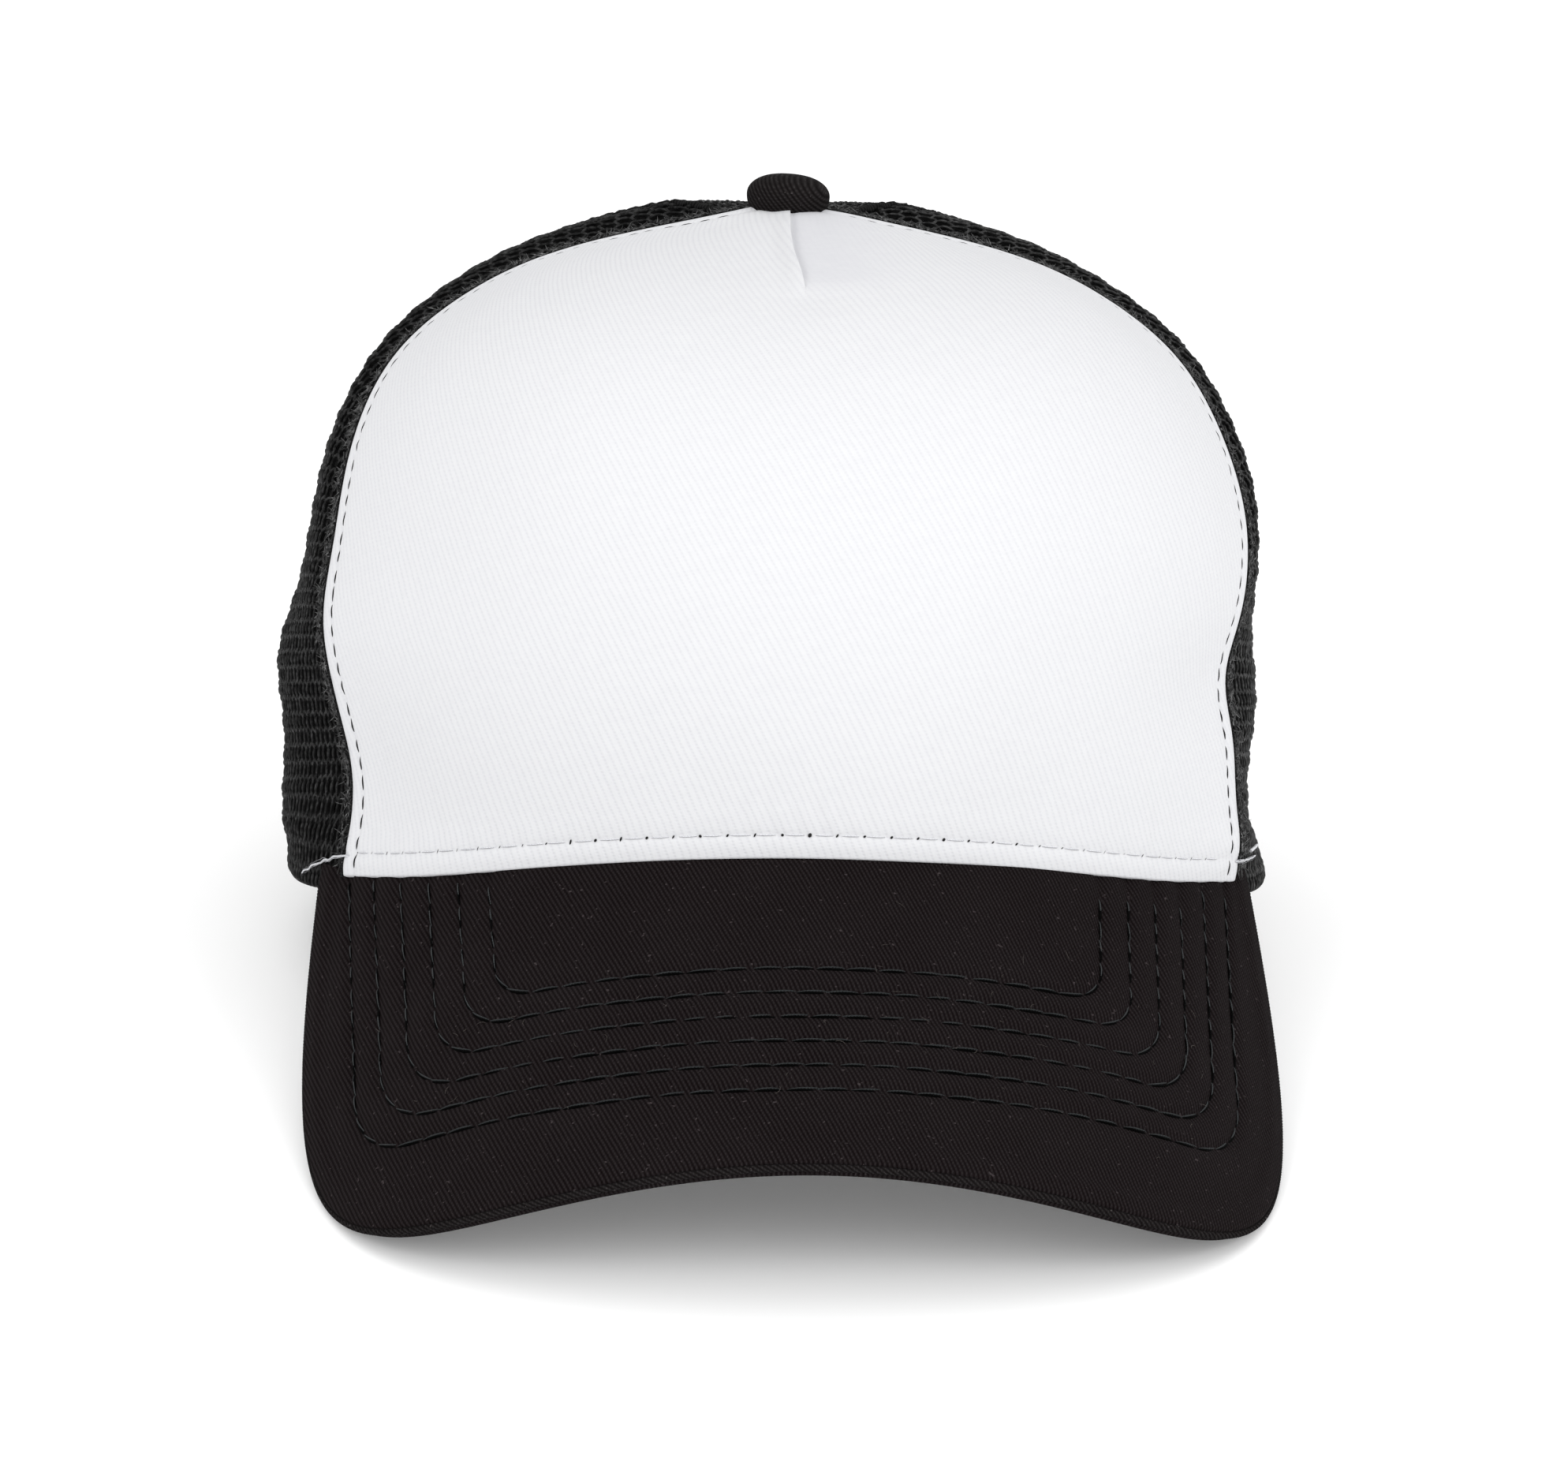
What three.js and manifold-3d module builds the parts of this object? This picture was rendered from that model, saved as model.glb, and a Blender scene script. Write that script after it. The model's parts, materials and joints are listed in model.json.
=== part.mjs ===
// A five-panel trucker cap: a foam-backed front panel, four mesh panels, a curved brim
// with a plastic core, a covered top button and a snap closure across the back opening.
//
// Millimetres. The crown is drawn upright about the middle of its head opening, with the
// brim towards -Y. An azimuth runs round the crown from the front (0) over +X (90 degrees)
// to the back (180 degrees), and a rise runs from the hem (0) to the top (1). The whole cap
// is then tipped back until the brim's front corners and the back hem stand on Z = 0.

import * as THREE from "three";
import { mergeVertices } from "three/addons/utils/BufferGeometryUtils.js";
import Module from "manifold-3d";

const wasm = await Module();
wasm.setup();
const radians = THREE.MathUtils.degToRad;

// Driving dimensions: the crown
const HALF_WIDTH = 92.8; // head opening's outside, from its middle to a side
const FRONT_REACH = 87.5; // from the middle to the front hem
const BACK_REACH = 95; // from the middle to the back hem
const CROWN_HEIGHT = 130.2; // from the back hem's plane to the top
const TOP_FLATTENING = 0.05; // how far the shoulders are pressed down, of the height
const SIDE_TUCK = 0.024; // how much narrower the crown is above its hem
const FRONT_LEAN = 0.024; // how far the front leans back, of its reach
// Squareness of the upright section at each azimuth in degrees: 2 is an ellipse.
const SQUARENESS = [[0, 2.8], [60, 3.45], [100, 3.1], [180, 2.35]];
const FRONT_SEAM_AZIMUTH = radians(60.8); // where the front seam meets the hem
const FRONT_SEAM_POWER = 1.42; // how late the front seam swings to the crown's side
const REAR_SEAM_AZIMUTH = radians(121); // the seam between side and rear mesh
const PANEL_TOP = 0.955; // the rise where the panels end, under the button
const NET_PUFF = [1, 4.2]; // how far the net stands out behind the front seam, low down and on top
const PUFF_REACH = 12; // how far behind the seam it has come out fully

// Driving dimensions: the back opening
const ARCH_HALF_ANGLE = radians(29);
const ARCH_TOP = 0.3; // rise of the opening's top
const TRIM_WIDTH = 8;

// Driving dimensions: the brim
const BRIM_RADIUS = 112; // bend of the brim across its width
const BRIM_SLOPE = radians(30.9); // fall of the brim towards its front
const BRIM_RISE = 24.6; // height of the front hem's middle above the back hem
const BRIM_LENGTH = 73.8; // from the hem to the front edge, along the slope
const BRIM_HALF_ARC = 100.5; // half the brim's width, along its bend
const BRIM_WIDEST = 8.9; // how far forward of the hem's middle the brim is widest
const BRIM_ROOT_AZIMUTH = radians(66.5);

// Depth of each layer's outside and inside below the crown's outer surface
const FRONT_FACE = [0, 0.8];
const FOAM = [1.1, 2.9];
const MESH = [1.2, 2.0];
const BINDING = [0.3, 0.9, 2.3, 2.9]; // outer leg's two faces, then the inner leg's
const TAPE = [3.5, 4.0];
const SWEATBAND = [4.7, 5.9];
const SEWN_STRAP = [3.3, 4.3];
const HOLE_STRAP = [2.1, 3.1];
const PEG_STRAP = [3.4, 4.4];

// Other sizes
const GAP = 0.3; // clearance between pieces that touch on a real cap
const ROWS = 14; // steps from the hem to the top in every panel
const BINDING_HEIGHT = 8;
const HEM_LIP = 1.6; // height of the hem binding outside the net
const BINDING_FOLD = 0.6; // thickness of a binding's fold below the mesh edge
const TAPE_HALF_WIDTH = 6;
const SWEATBAND_HEIGHT = 31;
const BRIM_LAYERS = { top_cover: [0, 0.8], core: [1.1, 2.7], under_cover: [3.0, 3.8] };
const CORE_INSET = 2.2;
const STRAP_HEIGHT = 19;
const STRAP_LIFT = 4; // the straps' lower edge above the hem
const SEWN_LENGTH = 17;
const HINGE_STANDOFF = 4.2; // from the opening's foot to where a strap starts to swing
const HINGE_CLEARANCE = 0.7; // from a strap's hinge line to the end that swings
const PEG_COUNT = 7;
const PEGS_ENGAGED = 4;
const PEG_PITCH = 8.4;
const PEG_RADIUS = 1.6;
const PEG_HEIGHT = 2.3;
const HOLE_RADIUS = 2.5;
const FIRST_PEG = 6.2; // from a strap's free end to its first peg or hole
const BUTTON_RADIUS = 7.7;
const BUTTON_HEIGHT = 5.6;
const FOOT_FLAT = 0.6; // how much of each resting point is pressed flat

// ---------------------------------------------------------------- crown surface

const smooth = (t) => THREE.MathUtils.smoothstep(t, 0, 1);

function squareness(azimuth) {
  const turned = Math.abs(Math.atan2(Math.sin(azimuth), Math.cos(azimuth)));
  const degrees = THREE.MathUtils.radToDeg(turned);
  const next = Math.max(1, SQUARENESS.findIndex(([limit]) => degrees <= limit));
  const [[from, a], [to, b]] = [SQUARENESS[next - 1], SQUARENESS[next]];
  return a + (b - a) * smooth((degrees - from) / (to - from));
}

const forwardness = (azimuth) => Math.max(Math.cos(azimuth), 0);

function hemPlan(azimuth) {
  const reach = Math.cos(azimuth) > 0 ? FRONT_REACH : BACK_REACH;
  return [HALF_WIDTH * Math.sin(azimuth), -reach * Math.cos(azimuth)];
}

// The hem follows the brim round the front and settles to the back's level behind it.
function hemHeight(azimuth) {
  const [x, y] = hemPlan(azimuth);
  const sag = BRIM_RADIUS - Math.sqrt(BRIM_RADIUS ** 2 - x ** 2);
  const onBrim = BRIM_RISE + Math.tan(BRIM_SLOPE) * (FRONT_REACH + y) - sag / Math.cos(BRIM_SLOPE);
  const turned = Math.abs(Math.atan2(Math.sin(azimuth), Math.cos(azimuth)));
  return Math.max(onBrim, 0) * (1 - smooth((turned - radians(55)) / radians(50)));
}

// How far the net stands out beyond the line of the foam-backed front panel.
function netPuff(azimuth, rise, inward, up) {
  const turned = Math.abs(Math.atan2(Math.sin(azimuth), Math.cos(azimuth)));
  const behind = smooth(((turned - frontSeam(rise)) * inward * HALF_WIDTH) / PUFF_REACH);
  const clearOfHem = smooth((up - 0.25) / 0.4);
  const clearOfButton = smooth((inward - 0.075) / 0.2);
  const full = NET_PUFF[0] + (NET_PUFF[1] - NET_PUFF[0]) * up;
  return full * behind * clearOfHem * clearOfButton;
}

function crownSurface(azimuth, rise) {
  const power = squareness(azimuth);
  const angle = (Math.PI / 2) * rise;
  const [c, s] = [Math.cos(angle), Math.sin(angle)];
  const length = (Math.abs(c) ** power + Math.abs(s) ** power) ** (-1 / power);
  const inward = c * length;
  const up = s * length;
  const hem = hemHeight(azimuth);
  const [x, y] = hemPlan(azimuth);
  const tuck = SIDE_TUCK * (1 - Math.max(0, 1 - up / 0.45) ** 2) * Math.sin(azimuth) ** 2;
  const lean = FRONT_LEAN * forwardness(azimuth) ** 2 * up;
  const scale = inward * (1 - tuck - lean);
  const height = up - TOP_FLATTENING * 4 * inward * (1 - inward);
  const puffWay = new THREE.Vector3(Math.sin(azimuth) * inward, -Math.cos(azimuth) * inward, up);
  return new THREE.Vector3(x * scale, y * scale, hem + (CROWN_HEIGHT - hem) * height)
    .addScaledVector(puffWay.normalize(), netPuff(azimuth, rise, inward, up));
}

// The surface's two directions of travel per unit of azimuth and of rise.
function travel(azimuth, rise) {
  const step = 1e-4;
  const near = (a, r) => crownSurface(azimuth + a, rise + r);
  return [
    near(step, 0).sub(near(-step, 0)).divideScalar(2 * step),
    near(0, step).sub(near(0, -step)).divideScalar(2 * step),
  ];
}

function outward(azimuth, rise) {
  const [round, upward] = travel(azimuth, rise);
  return round.cross(upward).normalize();
}

function crownPoint([azimuth, rise], depth) {
  return crownSurface(azimuth, rise).addScaledVector(outward(azimuth, rise), -depth);
}

// The place on the surface a small way off along a direction.
function shifted([azimuth, rise], direction, distance) {
  const [round, upward] = travel(azimuth, rise);
  const [rr, ru, uu] = [round.dot(round), round.dot(upward), upward.dot(upward)];
  const [dr, du] = [round.dot(direction) * distance, upward.dot(direction) * distance];
  const det = rr * uu - ru * ru;
  return [azimuth + (dr * uu - du * ru) / det, rise + (du * rr - dr * ru) / det];
}

// The rise at a height in mm above the hem.
function riseAt(azimuth, height) {
  return height / travel(azimuth, 0.001)[1].length();
}

function frontSeam(rise) {
  const power = squareness(FRONT_SEAM_AZIMUTH);
  const within = THREE.MathUtils.clamp(rise, 0, 0.999);
  const share = Math.atan(Math.tan((Math.PI / 2) * within) ** (power / 2));
  const swing = (share / (Math.PI / 2)) ** (1 / FRONT_SEAM_POWER);
  return FRONT_SEAM_AZIMUTH + (Math.PI / 2 - FRONT_SEAM_AZIMUTH) * swing;
}

// Half the clearance at a seam, as an azimuth at that rise.
function seamClearance(azimuth, rise) {
  return GAP / 2 / travel(azimuth, rise)[0].length();
}

// ---------------------------------------------------------------- closed solids

// A closed surface with its faces turned outwards.
function closedGeometry(points, faces) {
  const volume = faces.reduce((sum, [a, b, c]) =>
    sum + points[a].dot(new THREE.Vector3().crossVectors(points[b], points[c])), 0);
  const outwardFaces = volume < 0 ? faces.map(([a, b, c]) => [a, c, b]) : faces;
  return new THREE.BufferGeometry().setFromPoints(points).setIndex(outwardFaces.flat());
}

// A sheet between an outer and an inner grid of points, closed round its four edges.
function sheet(columns, rows, outer, inner) {
  const points = [];
  for (const side of [outer, inner])
    for (let j = 0; j <= rows; j++) for (let i = 0; i <= columns; i++) points.push(side(i, j));
  const count = (columns + 1) * (rows + 1);
  const at = (i, j, layer) => layer * count + j * (columns + 1) + i;
  const faces = [];
  const quad = (a, b, c, d) => faces.push([a, b, c], [a, c, d]);
  for (let j = 0; j < rows; j++)
    for (let i = 0; i < columns; i++) {
      quad(at(i, j, 0), at(i + 1, j, 0), at(i + 1, j + 1, 0), at(i, j + 1, 0));
      quad(at(i, j, 1), at(i, j + 1, 1), at(i + 1, j + 1, 1), at(i + 1, j, 1));
    }
  const wall = (i, j, k, l) => quad(at(k, l, 0), at(i, j, 0), at(i, j, 1), at(k, l, 1));
  for (let i = 0; i < columns; i++) {
    wall(i, 0, i + 1, 0);
    wall(i + 1, rows, i, rows);
  }
  for (let j = 0; j < rows; j++) {
    wall(columns, j, columns, j + 1);
    wall(0, j + 1, 0, j);
  }
  return closedGeometry(points, faces);
}

// A bar whose cross-section, a loop of points, is carried through every step of a path.
function bar(steps, section, point) {
  const outline = section.map(([u, v]) => new THREE.Vector2(u, v));
  const loop = THREE.ShapeUtils.area(outline) < 0 ? [...section].reverse() : section;
  const points = [];
  for (let k = 0; k <= steps; k++)
    for (const corner of loop) points.push(point(k, corner));
  const size = loop.length;
  const faces = [];
  for (let k = 0; k < steps; k++)
    for (let m = 0; m < size; m++) {
      const [a, b] = [k * size + m, k * size + ((m + 1) % size)];
      faces.push([a, b + size, b], [a, a + size, b + size]);
    }
  const cap = THREE.ShapeUtils.triangulateShape(loop.map(([u, v]) => new THREE.Vector2(u, v)), []);
  for (const [a, b, c] of cap) {
    faces.push([a, b, c]);
    faces.push([steps * size + a, steps * size + c, steps * size + b]);
  }
  return closedGeometry(points, faces);
}

// A strip of cloth that follows a path of places on the crown. The loop gives the strip's
// cross-section as [distance from the path, depth].
function strip(path, loop) {
  return bar(path.length - 1, loop, (k, [distance, depth]) => {
    const before = crownPoint(path[Math.max(k - 1, 0)], 0);
    const after = crownPoint(path[Math.min(k + 1, path.length - 1)], 0);
    const aside = outward(...path[k]).cross(after.sub(before)).normalize();
    return crownPoint(shifted(path[k], aside, distance), depth);
  });
}

// A rectangle for a strip's cross-section.
const band = (near, far, [outer, inner]) => [[near, inner], [far, inner], [far, outer], [near, outer]];

function along(from, to, steps, place) {
  return Array.from({ length: steps + 1 }, (_, i) => place(from + ((to - from) * i) / steps, i));
}

// ---------------------------------------------------------------- booleans

function solidOf(geometry) {
  const bare = geometry.index ? geometry.toNonIndexed() : geometry.clone();
  bare.deleteAttribute("normal");
  bare.deleteAttribute("uv");
  const merged = mergeVertices(bare, 1e-4);
  const vertProperties = merged.attributes.position.array;
  const triVerts = new Uint32Array(merged.index.array);
  return new wasm.Manifold(new wasm.Mesh({ numProp: 3, vertProperties, triVerts }));
}

function geometryFrom(solid) {
  const { vertProperties, triVerts } = solid.getMesh();
  const geometry = new THREE.BufferGeometry();
  geometry.setAttribute("position", new THREE.BufferAttribute(vertProperties, 3));
  geometry.setIndex(new THREE.BufferAttribute(triVerts, 1));
  return geometry;
}

// ---------------------------------------------------------------- panels

// A panel between two azimuths, each a function of the rise, above a lower edge.
function panel(columns, azimuthAt, bottomAt, [outer, inner]) {
  const place = (i, j) => {
    const bottom = bottomAt(i);
    const rise = bottom + (PANEL_TOP - bottom) * (j / ROWS);
    return [azimuthAt(i, rise), rise];
  };
  return sheet(columns, ROWS, (i, j) => crownPoint(place(i, j), outer),
    (i, j) => crownPoint(place(i, j), inner));
}

const FRONT_COLUMNS = 16;
const frontAzimuth = (i, rise) => {
  const edge = frontSeam(rise);
  return (edge - seamClearance(edge, rise)) * ((2 * i) / FRONT_COLUMNS - 1);
};
const frontPanel = () => panel(FRONT_COLUMNS, frontAzimuth, () => 0, FRONT_FACE);
const frontFoam = () => panel(FRONT_COLUMNS, frontAzimuth, () => 0, FOAM);

// The mesh stops above the fold of its binding.
const meshBottom = (azimuth) => riseAt(azimuth, BINDING_FOLD + GAP);

function sideMesh(side) {
  const columns = 9;
  const azimuthAt = (i, rise) => {
    const front = frontSeam(rise);
    const from = front + seamClearance(front, rise);
    const to = REAR_SEAM_AZIMUTH - seamClearance(REAR_SEAM_AZIMUTH, rise);
    const share = side > 0 ? i / columns : 1 - i / columns;
    return side * (from + (to - from) * share);
  };
  return panel(columns, azimuthAt, () => meshBottom(radians(90)), MESH);
}

// The opening's edge: an arch that starts and ends upright at the hem.
function archPlace(turn, margin) {
  const half = ARCH_HALF_ANGLE + margin / BACK_REACH;
  const top = ARCH_TOP + riseAt(Math.PI, margin);
  return [Math.PI - half * Math.cos(turn), top * Math.sin(turn)];
}

const ARCH_STEPS = 8; // steps in each half of the arch

function rearMesh(side) {
  const plainColumns = 5;
  const columns = plainColumns + ARCH_STEPS;
  const margin = BINDING_FOLD + GAP;
  const bottom = meshBottom(Math.PI);
  // Columns of the left panel mirror the right one's, so both face outwards.
  const ordered = (i) => (side > 0 ? i : columns - i);
  const archTurn = (i) => ((ordered(i) - plainColumns) / ARCH_STEPS) * (Math.PI / 2);
  const archStart = archPlace(0, margin)[0];
  const azimuthAt = (i, rise) => {
    const from = REAR_SEAM_AZIMUTH + seamClearance(REAR_SEAM_AZIMUTH, rise);
    const to = Math.PI - seamClearance(Math.PI, rise);
    const foot = ordered(i) <= plainColumns
      ? from + ((archStart - from) * ordered(i)) / plainColumns
      : archPlace(archTurn(i), margin)[0];
    return side * Math.min(foot, to);
  };
  const bottomAt = (i) =>
    ordered(i) <= plainColumns ? bottom : Math.max(bottom, archPlace(archTurn(i), margin)[1]);
  return panel(columns, azimuthAt, bottomAt, MESH);
}

// ---------------------------------------------------------------- bindings and tapes

const [BIND_OUT, BIND_OUT_IN, BIND_IN_OUT, BIND_IN] = BINDING;

// A binding folded over a mesh edge: its fold lies on the edge and its two legs grip the mesh.
const foldedOver = (innerWidth, outerWidth) => [
  [0, BIND_IN], [innerWidth, BIND_IN], [innerWidth, BIND_IN_OUT], [BINDING_FOLD, BIND_IN_OUT],
  [BINDING_FOLD, BIND_OUT_IN], [outerWidth, BIND_OUT_IN], [outerWidth, BIND_OUT], [0, BIND_OUT],
];

function hemBinding(side) {
  const from = frontSeam(0) + 1.2 / HALF_WIDTH;
  const to = Math.PI - ARCH_HALF_ANGLE;
  const [first, last] = side > 0 ? [from, to] : [-to, -from];
  const section = foldedOver(BINDING_HEIGHT, HEM_LIP);
  return strip(along(first, last, 14, (azimuth) => [azimuth, 0]), section);
}

function archTrim() {
  const foot = Math.asin(riseAt(Math.PI, BINDING_HEIGHT + 1.5) / ARCH_TOP);
  // The same steps as the mesh's edge, so that the two run side by side.
  const turns = along(0, Math.PI, 2 * ARCH_STEPS, (turn) => turn)
    .filter((turn) => turn > foot && turn < Math.PI - foot);
  const path = [foot, ...turns, Math.PI - foot].map((turn) => archPlace(turn, 0));
  return strip(path, foldedOver(TRIM_WIDTH, TRIM_WIDTH));
}

// A tape over a seam, from just above the sweatband's lower edge to the button.
function seamTape(azimuthAt, from) {
  const path = along(from, PANEL_TOP - 0.03, ROWS, (rise) => [azimuthAt(rise), rise]);
  const taper = (rise) => Math.min(1, (1 - rise) / 0.3);
  const across = [-1, -0.5, 0, 0.5, 1];
  const section = [TAPE[1], TAPE[0]].flatMap((depth, face) =>
    across.map((share) => [face ? -share : share, depth]));
  return bar(ROWS, section, (k, [share, depth]) => {
    const [azimuth, rise] = path[k];
    const next = crownPoint(path[Math.min(k + 1, ROWS)], 0);
    const last = crownPoint(path[Math.max(k - 1, 0)], 0);
    const aside = outward(azimuth, rise).cross(next.sub(last)).normalize();
    return crownPoint(shifted(path[k], aside, share * TAPE_HALF_WIDTH * taper(rise)), depth);
  });
}

function sweatband() {
  const end = Math.PI - ARCH_HALF_ANGLE - 1 / BACK_REACH;
  const [low, high] = [1.2, 1.2 + SWEATBAND_HEIGHT];
  const middle = (low + high) / 2;
  const [outer, inner] = SWEATBAND;
  const loop = [
    [low, inner], [middle, inner], [high, inner], [high, outer], [middle, outer], [low, outer],
  ];
  return strip(along(-end, end, 44, (azimuth) => [azimuth, 0]), loop);
}

// ---------------------------------------------------------------- snap straps

const strapRadius = BACK_REACH; // the closure's bend
const strapStart = Math.PI - ARCH_HALF_ANGLE + HINGE_STANDOFF / strapRadius;
const openingArc = 2 * (Math.PI - strapStart) * strapRadius;
// Both straps reach past the middle until the engaged pegs stand in their holes.
const strapLength = FIRST_PEG + (openingArc + (PEGS_ENGAGED - 1) * PEG_PITCH) / 2;

// A place on a strap: the distance from its hinge line, and the height above the hem.
function strapPlace(side, distance, height) {
  const azimuth = side * (strapStart + distance / strapRadius);
  return [azimuth, riseAt(azimuth, height)];
}

// The strap steps from its pocket's depth to its own over the first part of its length.
function strapDepth(layer, distance) {
  return layer.map((depth, face) =>
    THREE.MathUtils.lerp(SEWN_STRAP[face], depth, smooth((distance - 1) / 11)));
}

function strapBlank(side, layer) {
  const endRadius = STRAP_HEIGHT / 2;
  const straight = along(HINGE_CLEARANCE, strapLength - endRadius, 12, (distance) => [distance, endRadius]);
  const rounded = along(15, 75, 4, (turn) => [
    strapLength - endRadius + endRadius * Math.sin(radians(turn)),
    endRadius * Math.cos(radians(turn)),
  ]);
  const path = [...straight, ...rounded];
  const loop = [[-1, 1], [1, 1], [1, 0], [-1, 0]];
  const ordered = side > 0 ? path : [...path].reverse();
  return bar(path.length - 1, loop, (k, [across, face]) => {
    const [distance, half] = ordered[k];
    const height = STRAP_LIFT + endRadius + across * half;
    return crownPoint(strapPlace(side, distance, height), strapDepth(layer, distance)[face]);
  });
}

// A turned shape set square to a strap at each of its stations, from inside outwards.
function atStations(side, base, makeGeometry) {
  return along(0, PEG_COUNT - 1, PEG_COUNT - 1, (n) => {
    const distance = strapLength - FIRST_PEG - n * PEG_PITCH;
    const place = strapPlace(side, distance, STRAP_LIFT + STRAP_HEIGHT / 2);
    const normal = outward(...place);
    const turn = new THREE.Quaternion().setFromUnitVectors(new THREE.Vector3(0, 1, 0), normal);
    const geometry = makeGeometry().applyQuaternion(turn);
    return geometry.translate(...crownPoint(place, base).toArray());
  });
}

function holeStrap(side) {
  const drill = () => new THREE.CylinderGeometry(HOLE_RADIUS, HOLE_RADIUS, 4, 12);
  const middle = (HOLE_STRAP[0] + HOLE_STRAP[1]) / 2;
  let strap = solidOf(strapBlank(side, HOLE_STRAP));
  for (const hole of atStations(side, middle, drill)) strap = strap.subtract(solidOf(hole));
  return geometryFrom(strap);
}

function pegStrap(side) {
  const sunk = 0.4; // how far each peg is rooted in the strap
  const profile = [
    [0, 0], [PEG_RADIUS, 0], [PEG_RADIUS, PEG_HEIGHT], [PEG_RADIUS * 0.62, PEG_HEIGHT + sunk],
    [0, PEG_HEIGHT + sunk],
  ].map(([r, h]) => new THREE.Vector2(r, h));
  const peg = () => new THREE.LatheGeometry(profile, 10);
  let strap = solidOf(strapBlank(side, PEG_STRAP));
  for (const piece of atStations(side, PEG_STRAP[0] + sunk, peg)) strap = strap.add(solidOf(piece));
  return geometryFrom(strap);
}

// The part of a strap that is sewn into the band, on the crown's side of the hinge line.
function sewnEnd(side) {
  const ends = side > 0 ? [-SEWN_LENGTH, -GAP] : [-GAP, -SEWN_LENGTH];
  const loop = band(STRAP_LIFT, STRAP_LIFT + STRAP_HEIGHT, SEWN_STRAP);
  return bar(3, loop, (k, [height, depth]) => {
    const distance = THREE.MathUtils.lerp(...ends, k / 3);
    return crownPoint(strapPlace(side, distance, height), depth);
  });
}

// ---------------------------------------------------------------- brim

// A place on the brim: along its bend, forward along its slope, and below its upper face.
function brimPoint(across, forward, below) {
  const bend = across / BRIM_RADIUS;
  const radius = BRIM_RADIUS - below;
  const sag = BRIM_RADIUS - radius * Math.cos(bend);
  const front = FRONT_REACH + forward * Math.cos(BRIM_SLOPE) - sag * Math.sin(BRIM_SLOPE);
  const height = BRIM_RISE - forward * Math.sin(BRIM_SLOPE) - sag * Math.cos(BRIM_SLOPE);
  return new THREE.Vector3(radius * Math.sin(bend), -front, height);
}

// Where the brim meets the crown at an azimuth, as [along the bend, forward].
function brimRoot(azimuth, below, inset) {
  const clear = crownPoint([azimuth, 0], -GAP);
  const radius = BRIM_RADIUS - below;
  const bend = Math.asin(clear.x / radius);
  const sag = BRIM_RADIUS - radius * Math.cos(bend);
  const forward = (-clear.y - FRONT_REACH + sag * Math.sin(BRIM_SLOPE)) / Math.cos(BRIM_SLOPE);
  return new THREE.Vector2(bend * BRIM_RADIUS, forward + inset);
}

// The brim's right edge, from its root to the middle of its front, as a share of that way.
function brimEdge(share, below, inset) {
  const root = brimRoot(BRIM_ROOT_AZIMUTH, below, inset);
  const [wide, long] = [BRIM_HALF_ARC - inset, BRIM_LENGTH - inset];
  root.x -= inset;
  const widest = new THREE.Vector2(wide, BRIM_WIDEST);
  const rise = (widest.y - root.y) / 3;
  const side = new THREE.CubicBezierCurve(
    root,
    new THREE.Vector2((root.x + wide) / 2, root.y + rise),
    new THREE.Vector2(wide, widest.y - rise),
    widest,
  );
  const front = new THREE.CubicBezierCurve(
    widest,
    new THREE.Vector2(wide, long + 3),
    new THREE.Vector2(wide * 0.63, long),
    new THREE.Vector2(0, long),
  );
  return share < 0.3 ? side.getPoint(share / 0.3) : front.getPoint((share - 0.3) / 0.7);
}

const CORNER_SHARE = 0.62; // where the side edge turns into the front edge

function brimLayer([outer, inner], inset) {
  const [columns, rows] = [18, 9];
  const edge = (share, side, below) => {
    const point = brimEdge(share, below, inset);
    return new THREE.Vector2(point.x * side, point.y);
  };
  // A patch blended between the root, the front edge and the two side edges.
  const place = (u, v, below) => {
    const root = brimRoot((2 * u - 1) * BRIM_ROOT_AZIMUTH, below, inset);
    root.x *= 1 - inset / BRIM_HALF_ARC;
    const frontShare = 1 - Math.abs(2 * u - 1) * (1 - CORNER_SHARE);
    const front = edge(frontShare, Math.sign(u - 0.5) || 1, below);
    const [left, right] = [edge(v * CORNER_SHARE, -1, below), edge(v * CORNER_SHARE, 1, below)];
    const corner = (side, top) => edge(top * CORNER_SHARE, side, below).multiplyScalar(-1);
    return new THREE.Vector2()
      .addScaledVector(root, 1 - v).addScaledVector(front, v)
      .addScaledVector(left, 1 - u).addScaledVector(right, u)
      .addScaledVector(corner(-1, 0), (1 - u) * (1 - v)).addScaledVector(corner(1, 0), u * (1 - v))
      .addScaledVector(corner(-1, 1), (1 - u) * v).addScaledVector(corner(1, 1), u * v);
  };
  const face = (below) => (i, j) => {
    const flat = place(i / columns, j / rows, below);
    return brimPoint(flat.x, flat.y, below);
  };
  // Columns run from left to right and rows run forward, so the upper face is the inner grid.
  return sheet(columns, rows, face(inner), face(outer));
}

// ---------------------------------------------------------------- button

const turned = (profile, segments) =>
  new THREE.LatheGeometry(profile.map(([r, h]) => new THREE.Vector2(r, h)), segments)
    .rotateX(Math.PI / 2);

// A dome with an open underside: down its inside from the axis, round its rim and back up.
function dome(radius, height, thickness, base) {
  const arc = (r, h, from, to) => along(from, to, 5, (turn) => [
    turn === 90 ? 0 : r * Math.cos(radians(turn)), base + h * Math.sin(radians(turn)),
  ]);
  const inside = arc(radius - thickness, height - thickness, 90, 0);
  return turned([...inside, ...arc(radius, height, 0, 90)], 16);
}

const crownTop = crownSurface(0, PANEL_TOP).z;

function buttonCover() {
  return dome(BUTTON_RADIUS, BUTTON_HEIGHT, 0.7, crownTop + GAP);
}

function buttonShell() {
  return dome(BUTTON_RADIUS - 1, BUTTON_HEIGHT - 1, 0.6, crownTop + GAP);
}

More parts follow.
